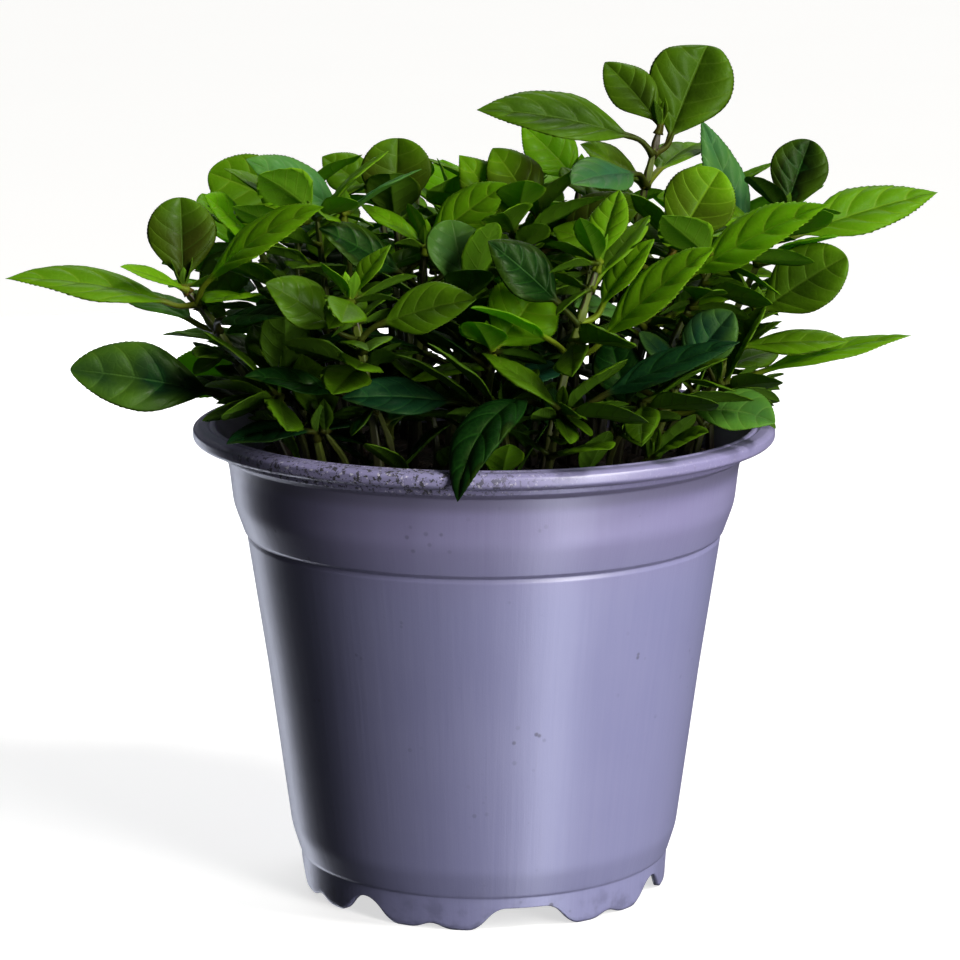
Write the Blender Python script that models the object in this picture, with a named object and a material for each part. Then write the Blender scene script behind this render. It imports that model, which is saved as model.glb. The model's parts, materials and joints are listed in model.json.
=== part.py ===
# A potted mint: a 13 cm nursery pot, its potting mix, square stems and their leaves.
# The tables below are in millimetres and degrees, and the solids are made in metres.
# Z is up, the pot's axis is the Z axis and its foot stands on Z = 0. The plant's front faces -Y.
import bisect
import math
from collections import namedtuple

import bmesh
import bpy
import numpy as np
from mathutils.bvhtree import BVHTree

MM = 0.001
GAP = 0.3  # clearance between neighbouring pieces
SHARP_ANGLE = 35.0  # edges that turn further than this stay sharp

# Pot
RIM_RADIUS = 65.0
POT_HEIGHT = 105.6
FLOOR_BOTTOM = 8.2
FLOOR_TOP = 9.4
DRAIN_RADIUS = 3.5
DRAIN_RING = 27.0
DRAIN_SIDES = 12
NOTCH_COUNT = 7
FIRST_NOTCH = -77.3  # heading of the first deep notch in the foot
DEEP_NOTCH = 5.0
SHALLOW_NOTCH = 1.8
NOTCH_RAMP = 6.0
SHALLOW_HALF = 4.5
WIDE_TOP = 9.0
NARROW_TOP = 3.0
NOTCH_TOPS = (WIDE_TOP, NARROW_TOP, WIDE_TOP, NARROW_TOP, NARROW_TOP, WIDE_TOP, NARROW_TOP)

# Outer and inner profiles of the pot above its foot, as radius and height.
POT_OUTER = (
    (42.5, 8.2), (44.0, 13.4), (48.9, 50.9), (53.1, 78.9), (53.5, 81.2),
    (55.8, 86.1), (57.0, 97.0), (RIM_RADIUS, 101.6), (RIM_RADIUS, 104.6),
)
POT_INNER = (
    (64.2, POT_HEIGHT), (60.4, POT_HEIGHT), (59.8, 104.8), (55.9, 97.3), (54.7, 86.6),
    (52.3, 81.6), (52.0, 79.2), (47.8, 50.9), (43.0, 14.0), (42.2, FLOOR_TOP),
)
FOOT_OUTER = 41.5
FOOT_INNER = 39.9
FOOT_ROOT = 40.7  # inner radius of the foot where it meets the floor

# Potting mix
MIX_TOP = 95.0
MIX_CROWN = 1.5  # how much higher the mix is in the middle
MIX_SIDES = 48
MIX_GAP = 0.62  # more than GAP, because the flats of a many-sided wall lie inside its radius
PLANTING_DEPTH = 7.0
SOCKET_SIDES = 8
SOCKET_GAP = 0.45

# Stems and leaves
STEM_LOW = 1.35  # half the diagonal of the square stem at the mix
STEM_TOP = 0.85
STEM_STEPS = 5
STEM_BEND = np.array([0.28, 0.28, 0.5])  # where the curve's middle point lies between base and top
CURVE_POINTS = 41
PETIOLE = 0.5
SADDLE_ROOM = 0.15  # because the strap's straight stretches cut inside its circle
LEAF_THICK = 0.45
FOLD = 0.22  # how far each half of a blade is raised, per unit of its width
LOW_PETIOLE = 0.36  # petiole length per unit of blade length, at the mix and at the stem's top
TOP_PETIOLE = 0.10
# Places along a blade, and its width there as a share of the full width.
BLADE_STATIONS = ((0.0, 0.12), (0.16, 0.76), (0.4, 1.0), (0.67, 0.84), (0.88, 0.4))
CLEARANCE = 0.7  # extra room that a leaf keeps from its neighbours while it finds its place

# Colours and roughness
POT_COLOUR = (0.36, 0.34, 0.47)
MIX_COLOUR = (0.035, 0.024, 0.018)
STEM_COLOUR = (0.22, 0.30, 0.07)
OLD_GREEN = np.array([0.02, 0.09, 0.02])
YOUNG_GREEN = np.array([0.19, 0.36, 0.02])
CUTTER_COLOUR = (0.8, 0.3, 0.3)
POT_ROUGHNESS = 0.42
MIX_ROUGHNESS = 0.95
STEM_ROUGHNESS = 0.5
LEAF_ROUGHNESS = 0.4

Leaf = namedtuple("Leaf", "heading rise blade width droop roll petiole", defaults=(12.0, 20.0, 0.0, 2.0))
Stem = namedtuple("Stem", "base top tip pairs", defaults=((),))

# Each stem gives its place on the mix, its top, the young leaf it ends in, and its pairs of
# leaves by height. A heading is measured from +X towards +Y.
STEMS = (
    Stem((-42, -14), (-65, -18, 138), Leaf(98, 68, 18, 15, 10), (
        (115, Leaf(-167, 12, 30, 16, 8, -58), Leaf(22, 14, 24, 14)),
        (130, Leaf(-54, 8, 24, 13, 12, 16), Leaf(142, 10, 26, 14)),
        (136, Leaf(-165, 11, 34, 14, 20, -24), Leaf(-20, 33, 31, 13, 30, 40)))),
    Stem((12, -35), (24, -41, 146), Leaf(60, 58, 15, 9), (
        (115, Leaf(-124, -24, 33, 13, 104, 0), Leaf(-8, 24, 30, 12, 14, 26)),
        (128, Leaf(-14, 41, 29, 13, 12, 42), Leaf(-156, 24, 18, 12)),
        (135, Leaf(-172, 42, 19, 13, 8, -58), Leaf(28, 38, 18, 12)))),
    Stem((26, 6), (39, 4, 171), Leaf(144, 42, 18, 11, 10, -40), (
        (160, Leaf(-125, 0, 24, 12, 16, -30), Leaf(62, 12, 22, 13)),
        (167, Leaf(-168, 11, 34, 14, 18, -46), Leaf(40, 66, 23, 19, 6, 44)))),
    Stem((-22, -31), (-28, -35, 137), Leaf(30, 50, 13, 9), (
        (117, Leaf(-158, 14, 20, 12, 16, -18), Leaf(20, 8, 22, 13)),
        (131, Leaf(-168, 30, 17, 13, 16, -48), Leaf(-8, 16, 20, 13, 14, 48)))),
    Stem((-1, -30), (2, -39, 127), Leaf(34, 46, 17, 16, 0, 58), (
        (115, Leaf(-166, 10, 23, 12, 14, -34), Leaf(50, 12, 21, 13)),)),
    Stem((29, -13), (41, -17, 146), Leaf(25, 56, 18, 16, 8, 50), (
        (130, Leaf(-134, 14, 18, 12, 20, -20), Leaf(40, 14, 21, 13)),
        (140, Leaf(-20, 29, 33, 14, 14, 44), Leaf(158, 20, 21, 13, 12, -40)))),
    Stem((46, 8), (67, 6, 151), Leaf(40, 64, 16, 13, 4, 40), (
        (142, Leaf(150, 56, 27, 11, 6, -30), Leaf(-50, 20, 18, 12)),
        (147, Leaf(14, 15, 33, 13, 10, 44), Leaf(168, 16, 23, 14, 16, -30)))),
    Stem((43, -8), (60, -11, 131), Leaf(-4, 34, 21, 16, 10, 58), (
        (118, Leaf(-3, 15, 33, 12, 10, 12), Leaf(174, 16, 21, 13)),)),
    Stem((34, -27), (42, -31, 120), Leaf(16, 50, 16, 12, 10, 50), (
        (114, Leaf(-24, -2, 18, 14, 36, 30), Leaf(150, 12, 19, 13)),)),
    Stem((-34, -29), (-36, -35, 109), Leaf(-150, -2, 19, 12, 30, -10)),
    Stem((-8, -16), (-4, -21, 135), Leaf(110, 62, 17, 16, 6, 10), (
        (122, Leaf(-140, 16, 22, 14), Leaf(44, 16, 21, 14)),)),
    Stem((-15, 10), (-20, 12, 149), Leaf(85, 72, 17, 16, 4), (
        (139, Leaf(-172, 16, 23, 14, 16, -30), Leaf(2, 18, 21, 13, 16, 30)),)),
    Stem((-28, -6), (-31, -2, 152), Leaf(-166, 30, 23, 12, 8, -50), (
        (137, Leaf(-112, 14, 22, 13), Leaf(64, 16, 21, 13)),)),
    Stem((-30, 18), (-41, 22, 149), Leaf(176, 24, 22, 16, 10, -60), (
        (132, Leaf(118, 10, 25, 14), Leaf(-64, 12, 21, 13)),)),
    Stem((-16, -6), (-13, -5, 145), Leaf(-6, 38, 21, 13, 10, 50), (
        (138, Leaf(-156, 30, 21, 12, 14, -50), Leaf(36, 24, 20, 13)),)),
    Stem((-16, 28), (-25, 34, 152), Leaf(165, 35, 14, 12, 10, -40)),
    Stem((0, 14), (-7, 19, 149), Leaf(-10, 32, 18, 13, 8, 50), (
        (136, Leaf(146, 14, 23, 14), Leaf(-30, 14, 22, 14)),)),
    Stem((8, 0), (12, -2, 151), Leaf(150, 52, 17, 13, 10, -40), (
        (134, Leaf(-104, 16, 23, 14), Leaf(74, 16, 21, 13)),
        (145, Leaf(-168, 24, 21, 13, 12, -44), Leaf(10, 26, 21, 13, 12, 44)))),
    Stem((16, 20), (22, 27, 156), Leaf(168, 44, 17, 14, 8, -44), (
        (146, Leaf(64, 16, 23, 14), Leaf(-112, 18, 21, 14)),)),
    Stem((-38, 4), (-50, 0, 145), Leaf(-152, 42, 15, 12, 8, -40), (
        (114, Leaf(158, -2, 25, 15, 16, -44), Leaf(-20, 10, 22, 13)),
        (133, Leaf(-118, 12, 22, 13), Leaf(66, 14, 23, 14)))),
    Stem((28, -42), (35, -44, 105), Leaf(-42, 26, 15, 10, 16, 20)),
    Stem((-36, 30), (-58, 42, 138), Leaf(132, 44, 17, 13), (
        (116, Leaf(154, 6, 27, 15), Leaf(-40, 12, 21, 13)),
        (129, Leaf(74, 12, 24, 15), Leaf(-128, 10, 25, 14)))),
    Stem((-4, 40), (-8, 52, 146), Leaf(100, 46, 15, 12), (
        (122, Leaf(96, 4, 17, 13), Leaf(-86, 14, 20, 13)),
        (138, Leaf(170, 12, 26, 15), Leaf(4, 12, 26, 15)))),
    Stem((30, 32), (46, 44, 146), Leaf(52, 48, 15, 13), (
        (118, Leaf(24, 4, 28, 15), Leaf(-150, 12, 21, 13)),
        (136, Leaf(112, 10, 23, 14), Leaf(-48, 12, 28, 14)))),
)


def heading_vector(heading, rise=0.0):
    flat = math.cos(math.radians(rise))
    return np.array([
        flat * math.cos(math.radians(heading)),
        flat * math.sin(math.radians(heading)),
        math.sin(math.radians(rise)),
    ])


def unit(vector):
    return vector / np.linalg.norm(vector)


def clear_scene():
    for old in list(bpy.data.objects):
        bpy.data.objects.remove(old)


def make_material(name, colour, roughness):
    material = bpy.data.materials.new(name)
    material.use_nodes = True
    shader = material.node_tree.nodes["Principled BSDF"]
    shader.inputs["Base Color"].default_value = (*colour, 1.0)
    shader.inputs["Roughness"].default_value = roughness
    shader.inputs["Metallic"].default_value = 0.0
    return material


def add_solid(name, points, faces, colour, roughness):
    mesh = bpy.data.meshes.new(name)
    mesh.from_pydata((np.asarray(points) * MM).tolist(), [], faces)
    shape = bmesh.new()
    shape.from_mesh(mesh)
    bmesh.ops.recalc_face_normals(shape, faces=shape.faces)
    shape.to_mesh(mesh)
    shape.free()
    mesh.shade_smooth()
    mesh.set_sharp_from_angle(angle=math.radians(SHARP_ANGLE))
    mesh.materials.append(make_material(name, colour, roughness))
    solid = bpy.data.objects.new(name, mesh)
    bpy.context.collection.objects.link(solid)
    return solid


def cut_with(solid, name, points, faces):
    cutter = add_solid(name, points, faces, CUTTER_COLOUR, MIX_ROUGHNESS)
    cutter.hide_render = True
    cutter.display_type = "WIRE"
    cut = solid.modifiers.new(name, "BOOLEAN")
    cut.operation = "DIFFERENCE"
    cut.solver = "EXACT"
    cut.object = cutter


def skin_rings(rings):
    """Faces that join rings of equal count, each ring to the next."""
    count = len(rings[0])
    faces = []
    for row in range(len(rings) - 1):
        low = row * count
        high = low + count
        for step in range(count):
            turn = (step + 1) % count
            faces.append((low + step, low + turn, high + turn, high + step))
    return faces


def prisms(places, radius, sides, low, high):
    """Upright prisms at the given places, as the points and faces of one cutter."""
    points, faces = [], []
    for x, y in places:
        first = len(points)
        for z in (low, high):
            for side in range(sides):
                turn = 2 * math.pi * side / sides
                points.append((x + radius * math.cos(turn), y + radius * math.sin(turn), z))
        faces += [tuple(first + corner for corner in face)
                  for face in skin_rings((range(sides), range(sides)))]
        faces.append(tuple(first + side for side in range(sides)))
        faces.append(tuple(first + sides + side for side in range(sides)))
    return points, faces


def foot_edge():
    """Headings and heights of the foot's lower edge: deep notches, and a shallow one between each two."""
    pitch = 360.0 / NOTCH_COUNT
    edge = []
    for index, top in enumerate(NOTCH_TOPS):
        centre = FIRST_NOTCH + index * pitch
        after = centre + top + NOTCH_RAMP
        following = NOTCH_TOPS[(index + 1) % NOTCH_COUNT]
        before_next = centre + pitch - following - NOTCH_RAMP
        middle = (after + before_next) / 2
        edge += [
            (centre - top, DEEP_NOTCH), (centre, DEEP_NOTCH), (centre + top, DEEP_NOTCH), (after, 0.0),
            (middle - SHALLOW_HALF, 0.0), (middle, SHALLOW_NOTCH), (middle + SHALLOW_HALF, 0.0),
            (before_next, 0.0),
        ]
    return edge


def make_pot():
    """One moulded wall from foot to rim and down inside to the floor, with drain holes through the floor."""
    edge = foot_edge()
    profile = [(FOOT_OUTER, None), *POT_OUTER, *POT_INNER]
    underside = [(FOOT_ROOT, FLOOR_BOTTOM), (FOOT_INNER, None)]
    rings = []
    for radius, height in profile + underside:
        rings.append([(radius * math.cos(math.radians(turn)), radius * math.sin(math.radians(turn)),
                       low if height is None else height) for turn, low in edge])
    count = len(edge)
    points = [point for ring in rings for point in ring]
    top_rings = len(profile)
    faces = skin_rings(rings[:top_rings])
    faces += [tuple(corner + top_rings * count for corner in face)
              for face in skin_rings(rings[top_rings:])]
    first, last = top_rings * count, (len(rings) - 1) * count
    for step in range(count):
        turn = (step + 1) % count
        faces.append((last + step, last + turn, turn, step))
    faces.append(tuple((top_rings - 1) * count + step for step in range(count)))
    faces.append(tuple(first + step for step in reversed(range(count))))
    pot = add_solid("pot", points, faces, POT_COLOUR, POT_ROUGHNESS)
    drains = [(0.0, 0.0)]
    for index in range(NOTCH_COUNT):
        drains.append(tuple(DRAIN_RING * heading_vector(360.0 * index / NOTCH_COUNT)[:2]))
    cut_with(pot, "drain_holes", *prisms(drains, DRAIN_RADIUS, DRAIN_SIDES, 0.0, 2 * FLOOR_TOP))
    return np.array(points), faces


def make_potting_mix():
    """The mix fills the pot to MIX_TOP. Its planting holes hold the feet of the stems."""
    upward = POT_INNER[::-1]
    wall = [point for point in upward if point[1] < MIX_TOP]
    top_radius = np.interp(MIX_TOP, [height for _, height in upward], [radius for radius, _ in upward])
    wall.append((float(top_radius), MIX_TOP))
    rings = []
    for radius, height in wall:
        spokes = [(radius - MIX_GAP) * heading_vector(360.0 * side / MIX_SIDES) for side in range(MIX_SIDES)]
        rings.append([(x, y, max(height, FLOOR_TOP + GAP)) for x, y, _ in spokes])
    faces = skin_rings(rings)
    points = [point for ring in rings for point in ring]
    crown = len(points)
    points.append((0.0, 0.0, MIX_TOP + MIX_CROWN))
    edge = (len(rings) - 1) * MIX_SIDES
    for side in range(MIX_SIDES):
        faces.append((edge + side, edge + (side + 1) % MIX_SIDES, crown))
    faces.append(tuple(reversed(range(MIX_SIDES))))
    mix = add_solid("potting_mix", points, faces, MIX_COLOUR, MIX_ROUGHNESS)
    places = [stem.base for stem in STEMS]
    bottom = MIX_TOP - PLANTING_DEPTH - GAP
    sockets = prisms(places, STEM_LOW + SOCKET_GAP, SOCKET_SIDES, bottom, MIX_TOP + PLANTING_DEPTH)
    cut_with(mix, "planting_holes", *sockets)


def stem_curve(stem):
    """Centre line from the mix to the top: upright at first, then leaning over."""
    base = np.array([*stem.base, MIX_TOP])
    top = np.array(stem.top, float)
    lean = top - base
    control = base + STEM_BEND * lean
    share = np.linspace(0.0, 1.0, CURVE_POINTS)[:, None]
    return (1 - share) ** 2 * base + 2 * share * (1 - share) * control + share ** 2 * top


def stem_point(stem, height):
    """The centre, the direction and the half diagonal of the stem at a height."""
    line = stem_curve(stem)
    above = min(max(bisect.bisect_left(line[:, 2].tolist(), height), 1), len(line) - 1)
    share = (height - line[above - 1, 2]) / (line[above, 2] - line[above - 1, 2])
    centre = line[above - 1] + share * (line[above] - line[above - 1])
    along = (height - MIX_TOP) / (stem.top[2] - MIX_TOP)
    return centre, unit(line[above] - line[above - 1]), STEM_LOW + along * (STEM_TOP - STEM_LOW)


def diamond(centre, side, normal, half_width, half_thick, lift):
    return np.array([
        centre + side * half_width + normal * lift, centre + normal * half_thick,
        centre - side * half_width + normal * lift, centre - normal * half_thick,
    ])


def leaf_rings(root, leaf, extra=0.0):
    """Rings of a leaf from its petiole's start to its last station, and its pointed tip."""
    length = leaf.petiole + leaf.blade
    stations = [(0.0, PETIOLE, 0.0)]
    for share, width in BLADE_STATIONS:
        half = max(PETIOLE, width * leaf.width / 2)
        stations.append((leaf.petiole + share * leaf.blade, half, FOLD * (half - PETIOLE)))
    side = heading_vector(leaf.heading - 90.0)
    place, before, rings = np.array(root, float), 0.0, []
    for distance, half, lift in stations + [(length, 0.0, 0.0)]:
        middle_rise = leaf.rise + leaf.droop * (0.5 - (before + distance) / 2 / length)
        place = place + (distance - before) * heading_vector(leaf.heading, middle_rise)
        before = distance
        along = heading_vector(leaf.heading, leaf.rise + leaf.droop * (0.5 - distance / length))
        roll = math.radians(leaf.roll) * min(1.0, distance / leaf.petiole)
        normal = np.cross(side, along)
        turned = side * math.cos(roll) - normal * math.sin(roll)
        normal = normal * math.cos(roll) + side * math.sin(roll)
        if half:
            rings.append(diamond(place, turned, normal, half + extra, LEAF_THICK + extra, lift))
        else:
            tip = place + along * extra
    return rings, tip


def loft(rings, first_tip, last_tip):
    """A closed solid along four-cornered rings. An end without a tip is closed flat."""
    points = [point for ring in rings for point in ring]
    faces = skin_rings(rings)
    last = (len(rings) - 1) * 4
    if first_tip is None:
        faces.append((3, 2, 1, 0))
    else:
        points.append(first_tip)
        faces += [(len(points) - 1, (step + 1) % 4, step) for step in range(4)]
    if last_tip is None:
        faces.append((last, last + 1, last + 2, last + 3))
    else:
        points.append(last_tip)
        faces += [(len(points) - 1, last + step, last + (step + 1) % 4) for step in range(4)]
    return np.array(points), faces


class Room:
    """Keeps the solids placed so far, and tells whether a new one would touch them."""

    def __init__(self):
        self.placed = []

    def add(self, owner, points, faces):
        tree = BVHTree.FromPolygons(points.tolist(), faces)
        self.placed.append((owner, points.min(0), points.max(0), tree))

    def is_clear(self, points, faces, skipped=None):
        low, high = points.min(0), points.max(0)
        tree = None
        for owner, other_low, other_high, other in self.placed:
            if owner == skipped or (low > other_high).any() or (high < other_low).any():
                continue
            tree = tree or BVHTree.FromPolygons(points.tolist(), faces)
            if tree.overlap(other):
                return False
        return True


def turns():
    """Turns that a leaf may make from its stated heading and rise, the smallest first."""
    headings = (0, -5, 5, -10, 10, -15, 15, -21, 21, -28, 28, -36, 36, -45, 45)
    rises = (0, -5, 5, -10, 10, -16, 16, -23, 23, -30, 30, 38)
    choices = [(abs(turn) + abs(lift), turn, lift) for turn in headings for lift in rises]
    return [(turn, lift) for _, turn, lift in sorted(choices)]


TURNS = turns()
TRIMS = (1.0, 0.9, 0.8, 0.7)


def find_place(room, owner, start_of, leaf):
    """The leaf with the smallest turn, and if need be a trim, that touches nothing placed before."""
    for trim in TRIMS:
        for turn, lift in TURNS:
            tried = leaf._replace(heading=leaf.heading + turn, rise=leaf.rise + lift,
                                  blade=leaf.blade * trim, width=leaf.width * trim)
            strap, root = start_of(tried)
            rings, tip = leaf_rings(root, tried, CLEARANCE)
            if min(ring[:, 2].min() for ring in rings) < MIX_TOP + MIX_CROWN:
                continue
            if not room.is_clear(*loft(strap + rings, None, tip), skipped=owner):
                continue
            if room.is_clear(*loft(rings[2:], None, tip)):
                return tried
    print("no clear place for a leaf of", owner)
    return leaf


def make_stem(room, number, stem):
    """A square stem from its planting hole to the young leaf at its top."""
    side = heading_vector(stem.tip.heading - 90.0)
    rings = []
    upright = np.array([0.0, 0.0, 1.0])
    base = np.array([*stem.base, MIX_TOP])
    for centre in (base - PLANTING_DEPTH * upright, base):
        rings.append(diamond(centre, side, np.cross(side, upright), STEM_LOW, STEM_LOW, 0.0))
    for step in range(1, STEM_STEPS):  # the last step stops short of the top, where the leaf begins
        height = MIX_TOP + (stem.top[2] - MIX_TOP) * step / (STEM_STEPS - 0.5)
        centre, along, half = stem_point(stem, height)
        normal = unit(np.cross(side, along))
        rings.append(diamond(centre, unit(np.cross(along, normal)), normal, half, half, 0.0))
    name = f"stem_{number:02d}"
    room.add(name, *loft(rings, None, None))
    return rings


def finish_stem(room, number, stem, rings):
    name = f"stem_{number:02d}"
    tip_leaf = find_place(room, name, lambda tried: ([], stem.top), stem.tip)
    leaf_part, tip = leaf_rings(stem.top, tip_leaf)
    points, faces = loft(rings + leaf_part, None, tip)
    room.add(name, *loft(rings[-1:] + leaf_part[:2], None, None))
    room.add(name + "_leaf", *loft(leaf_part[1:], None, tip))
    add_solid(name, points, faces, STEM_COLOUR, STEM_ROUGHNESS)


def saddle_points(stem, height, first, second, extra=0.0):
    """The strap that carries a pair of leaves round its stem: first root, rings between, second root."""
    centre, axis, half = stem_point(stem, height)
    radius = half + GAP + PETIOLE + SADDLE_ROOM
    across = unit(heading_vector(first.heading) - axis * np.dot(heading_vector(first.heading), axis))
    sideways = np.cross(axis, across)
    other = heading_vector(second.heading) - axis * np.dot(heading_vector(second.heading), axis)
    sweep = math.atan2(np.dot(other, sideways), np.dot(other, across)) % (2 * math.pi)
    sign = 1.0
    if sweep < math.pi:
        sweep, sign = 2 * math.pi - sweep, -1.0

    def around(angle, distance):
        return centre + distance * (across * math.cos(sign * angle) + sideways * math.sin(sign * angle))

    touch = math.pi / 3  # where a line from twice the radius away touches the circle
    rings = []
    for share in (0.0, 0.5, 1.0):
        angle = touch + share * (sweep - 2 * touch)
        outward = (around(angle, radius) - centre) / radius
        rings.append(diamond(around(angle, radius), sign * outward, axis, PETIOLE + extra,
                             LEAF_THICK + extra, 0.0))
    return around(0.0, 2 * radius), rings, around(sweep, 2 * radius)


def make_pair(room, name, stem_name, stem, height, first, second):
    """Two opposite leaves and the strap that joins them. Petioles are longer towards the mix."""
    share = LOW_PETIOLE + (TOP_PETIOLE - LOW_PETIOLE) * (height - MIX_TOP) / (stem.top[2] - MIX_TOP)
    first = first._replace(petiole=share * first.blade)
    second = second._replace(petiole=share * second.blade)

    def before_first(tried):
        root, strap, _ = saddle_points(stem, height, tried, second, CLEARANCE)
        return [ring[[2, 1, 0, 3]] for ring in reversed(strap)], root

    def before_second(tried):
        _, strap, root = saddle_points(stem, height, first, tried, CLEARANCE)
        return strap, root

    first = find_place(room, stem_name, before_first, first)
    second = find_place(room, stem_name, before_second, second)
    root_a, strap, root_b = saddle_points(stem, height, first, second)
    rings_a, tip_a = leaf_rings(root_a, first)
    rings_b, tip_b = leaf_rings(root_b, second)
    flipped = [ring[[2, 1, 0, 3]] for ring in reversed(rings_a)]
    points, faces = loft(flipped + strap + rings_b, tip_a, tip_b)
    room.add(name, points, faces)
    youth = min(1.0, (height - MIX_TOP) / (max(stem.top[2] for stem in STEMS) - MIX_TOP))
    add_solid(name, points, faces, (1 - youth) * OLD_GREEN + youth * YOUNG_GREEN, LEAF_ROUGHNESS)


def make_plant(room):
    stems = [(number, stem, make_stem(room, number, stem)) for number, stem in enumerate(STEMS, 1)]
    for number, stem, rings in stems:
        finish_stem(room, number, stem, rings)
    for number, stem in enumerate(STEMS, 1):
        for level, (height, first, second) in enumerate(stem.pairs, 1):
            name = f"leaf_pair_{number:02d}_{level}"
            make_pair(room, name, f"stem_{number:02d}", stem, height, first, second)


def main():
    clear_scene()
    room = Room()
    room.add("pot", *make_pot())
    make_potting_mix()
    make_plant(room)


main()
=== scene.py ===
# A potted mint: the looks of its nursery pot, potting mix, square stems and leaves.
# Lengths are in metres, and mm turns millimetres into them. The plant's front faces -Y.
import json
import math

import bmesh
import bpy
import numpy as np
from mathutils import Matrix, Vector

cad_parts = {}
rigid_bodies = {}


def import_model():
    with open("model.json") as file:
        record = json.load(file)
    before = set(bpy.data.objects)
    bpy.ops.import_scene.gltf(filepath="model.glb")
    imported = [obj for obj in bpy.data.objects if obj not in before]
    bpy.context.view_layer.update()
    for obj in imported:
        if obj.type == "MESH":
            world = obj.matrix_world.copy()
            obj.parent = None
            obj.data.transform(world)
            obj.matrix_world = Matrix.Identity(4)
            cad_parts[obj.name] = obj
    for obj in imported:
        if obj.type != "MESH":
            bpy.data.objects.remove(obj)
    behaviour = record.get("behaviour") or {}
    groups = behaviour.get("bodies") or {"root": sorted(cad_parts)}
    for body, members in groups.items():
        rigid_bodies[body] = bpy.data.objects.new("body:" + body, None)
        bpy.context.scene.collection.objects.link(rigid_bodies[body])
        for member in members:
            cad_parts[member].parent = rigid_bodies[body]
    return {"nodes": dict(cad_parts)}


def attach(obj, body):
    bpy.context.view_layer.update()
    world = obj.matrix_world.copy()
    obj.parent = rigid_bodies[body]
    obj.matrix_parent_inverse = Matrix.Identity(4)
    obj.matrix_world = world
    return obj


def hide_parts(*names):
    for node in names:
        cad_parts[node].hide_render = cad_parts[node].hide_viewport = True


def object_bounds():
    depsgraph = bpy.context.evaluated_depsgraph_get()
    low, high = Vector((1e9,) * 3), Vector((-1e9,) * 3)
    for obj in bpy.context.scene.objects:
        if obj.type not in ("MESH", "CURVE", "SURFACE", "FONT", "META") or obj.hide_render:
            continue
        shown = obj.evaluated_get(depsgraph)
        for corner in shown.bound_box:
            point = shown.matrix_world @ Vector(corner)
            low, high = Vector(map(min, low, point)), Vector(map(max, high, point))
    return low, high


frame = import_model()
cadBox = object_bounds()
nodes = frame["nodes"]
mm = 0.001
upward = np.array([0.0, 0.0, 1.0])


def unit(vectors):
    return vectors / np.linalg.norm(vectors, axis=-1, keepdims=True)


def smooth(value, low, high):
    # 0 below low, 1 above high, and 3t^2 - 2t^3 between them
    t = np.clip((value - low) / (high - low), 0.0, 1.0)
    return t * t * (3 - 2 * t)


def curveThrough(knots, values, at):
    # A cubic between each two knots that meets both ends and their mean slopes. Gives value and slope.
    slopes = np.gradient(values, knots, axis=0)
    index = np.clip(np.searchsorted(knots, at) - 1, 0, len(knots) - 2)
    span = (knots[index + 1] - knots[index])[:, None]
    t = (at - knots[index])[:, None] / span
    a, b = values[index], values[index + 1]
    da, db = slopes[index] * span, slopes[index + 1] * span
    point = (2 * t**3 - 3 * t**2 + 1) * a + (t**3 - 2 * t**2 + t) * da
    point = point + (3 * t**2 - 2 * t**3) * b + (t**3 - t**2) * db
    slope = (6 * t**2 - 6 * t) * (a - b) + (3 * t**2 - 4 * t + 1) * da + (3 * t**2 - 2 * t) * db
    return point, slope / span


def ringOf(spoke, r, z):
    # points at radius r and height z round the axis, both one number or one for each spoke
    r, z = (np.broadcast_to(value, len(spoke))[:, None] for value in (r, z))
    return np.concatenate([spoke * r, z], -1)


def ringFaces(rows, count):
    # quads between each ring of count points and the next
    low = np.arange(rows - 1)[:, None] * count
    step = np.arange(count)
    a, b = low + step, low + (step + 1) % count
    return np.stack([a, b, b + count, a + count], -1).reshape(-1, 4)


def closedTube(rings, layers=None):
    # Rings joined into a closed skin, with a point at the middle of each end. Layers hold a value per point.
    rows, count = rings.shape[:2]
    points = np.concatenate([rings.reshape(-1, 3), rings[:1].mean(1), rings[-1:].mean(1)])
    step = np.arange(count)
    after = (step + 1) % count
    first, last = rows * count, (rows - 1) * count
    startFan = np.stack([after, step, np.full(count, first)], -1)
    endFan = np.stack([last + step, last + after, np.full(count, first + 1)], -1)
    faces = ringFaces(rows, count).tolist() + startFan.tolist() + endFan.tolist()
    filled = {}
    for key, value in (layers or {}).items():
        grid = np.broadcast_to(value, (rows, count))
        filled[key] = np.concatenate([grid.ravel(), grid[:1].mean(1), grid[-1:].mean(1)])
    return points, faces, filled


def joined(shapes):
    # several (points, faces, layers) as one
    points, faces, first = [], [], 0
    for shape in shapes:
        points.append(shape[0])
        faces += [[corner + first for corner in face] for face in shape[1]]
        first += len(shape[0])
    layers = {key: np.concatenate([shape[2][key] for shape in shapes]) for key in shapes[0][2]}
    return np.concatenate(points), faces, layers


def makePiece(name, shape, material, replaced=()):
    # One object from (points, faces, layers). The layers u and v become its UV map, the others attributes.
    points, faces, layers = shape
    mesh = bpy.data.meshes.new(name)
    mesh.from_pydata(points.tolist(), [], faces)
    skin = bmesh.new()
    skin.from_mesh(mesh)
    bmesh.ops.recalc_face_normals(skin, faces=skin.faces)
    skin.to_mesh(mesh)
    skin.free()
    for key, value in layers.items():
        if key not in ("u", "v"):
            mesh.attributes.new(key, "FLOAT", "POINT").data.foreach_set("value", value.astype(np.float32))
    if "u" in layers:
        corners = np.empty(len(mesh.loops), np.int32)
        mesh.loops.foreach_get("vertex_index", corners)
        spread = np.stack([layers["u"][corners], layers["v"][corners]], -1)
        mesh.uv_layers.new(name="surfaceMap").data.foreach_set("uv", spread.astype(np.float32).ravel())
    mesh.shade_smooth()
    mesh.materials.append(material)
    piece = bpy.data.objects.new(name, mesh)
    bpy.context.collection.objects.link(piece)
    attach(piece, "root")
    if replaced:
        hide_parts(*replaced)
    return piece


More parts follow.
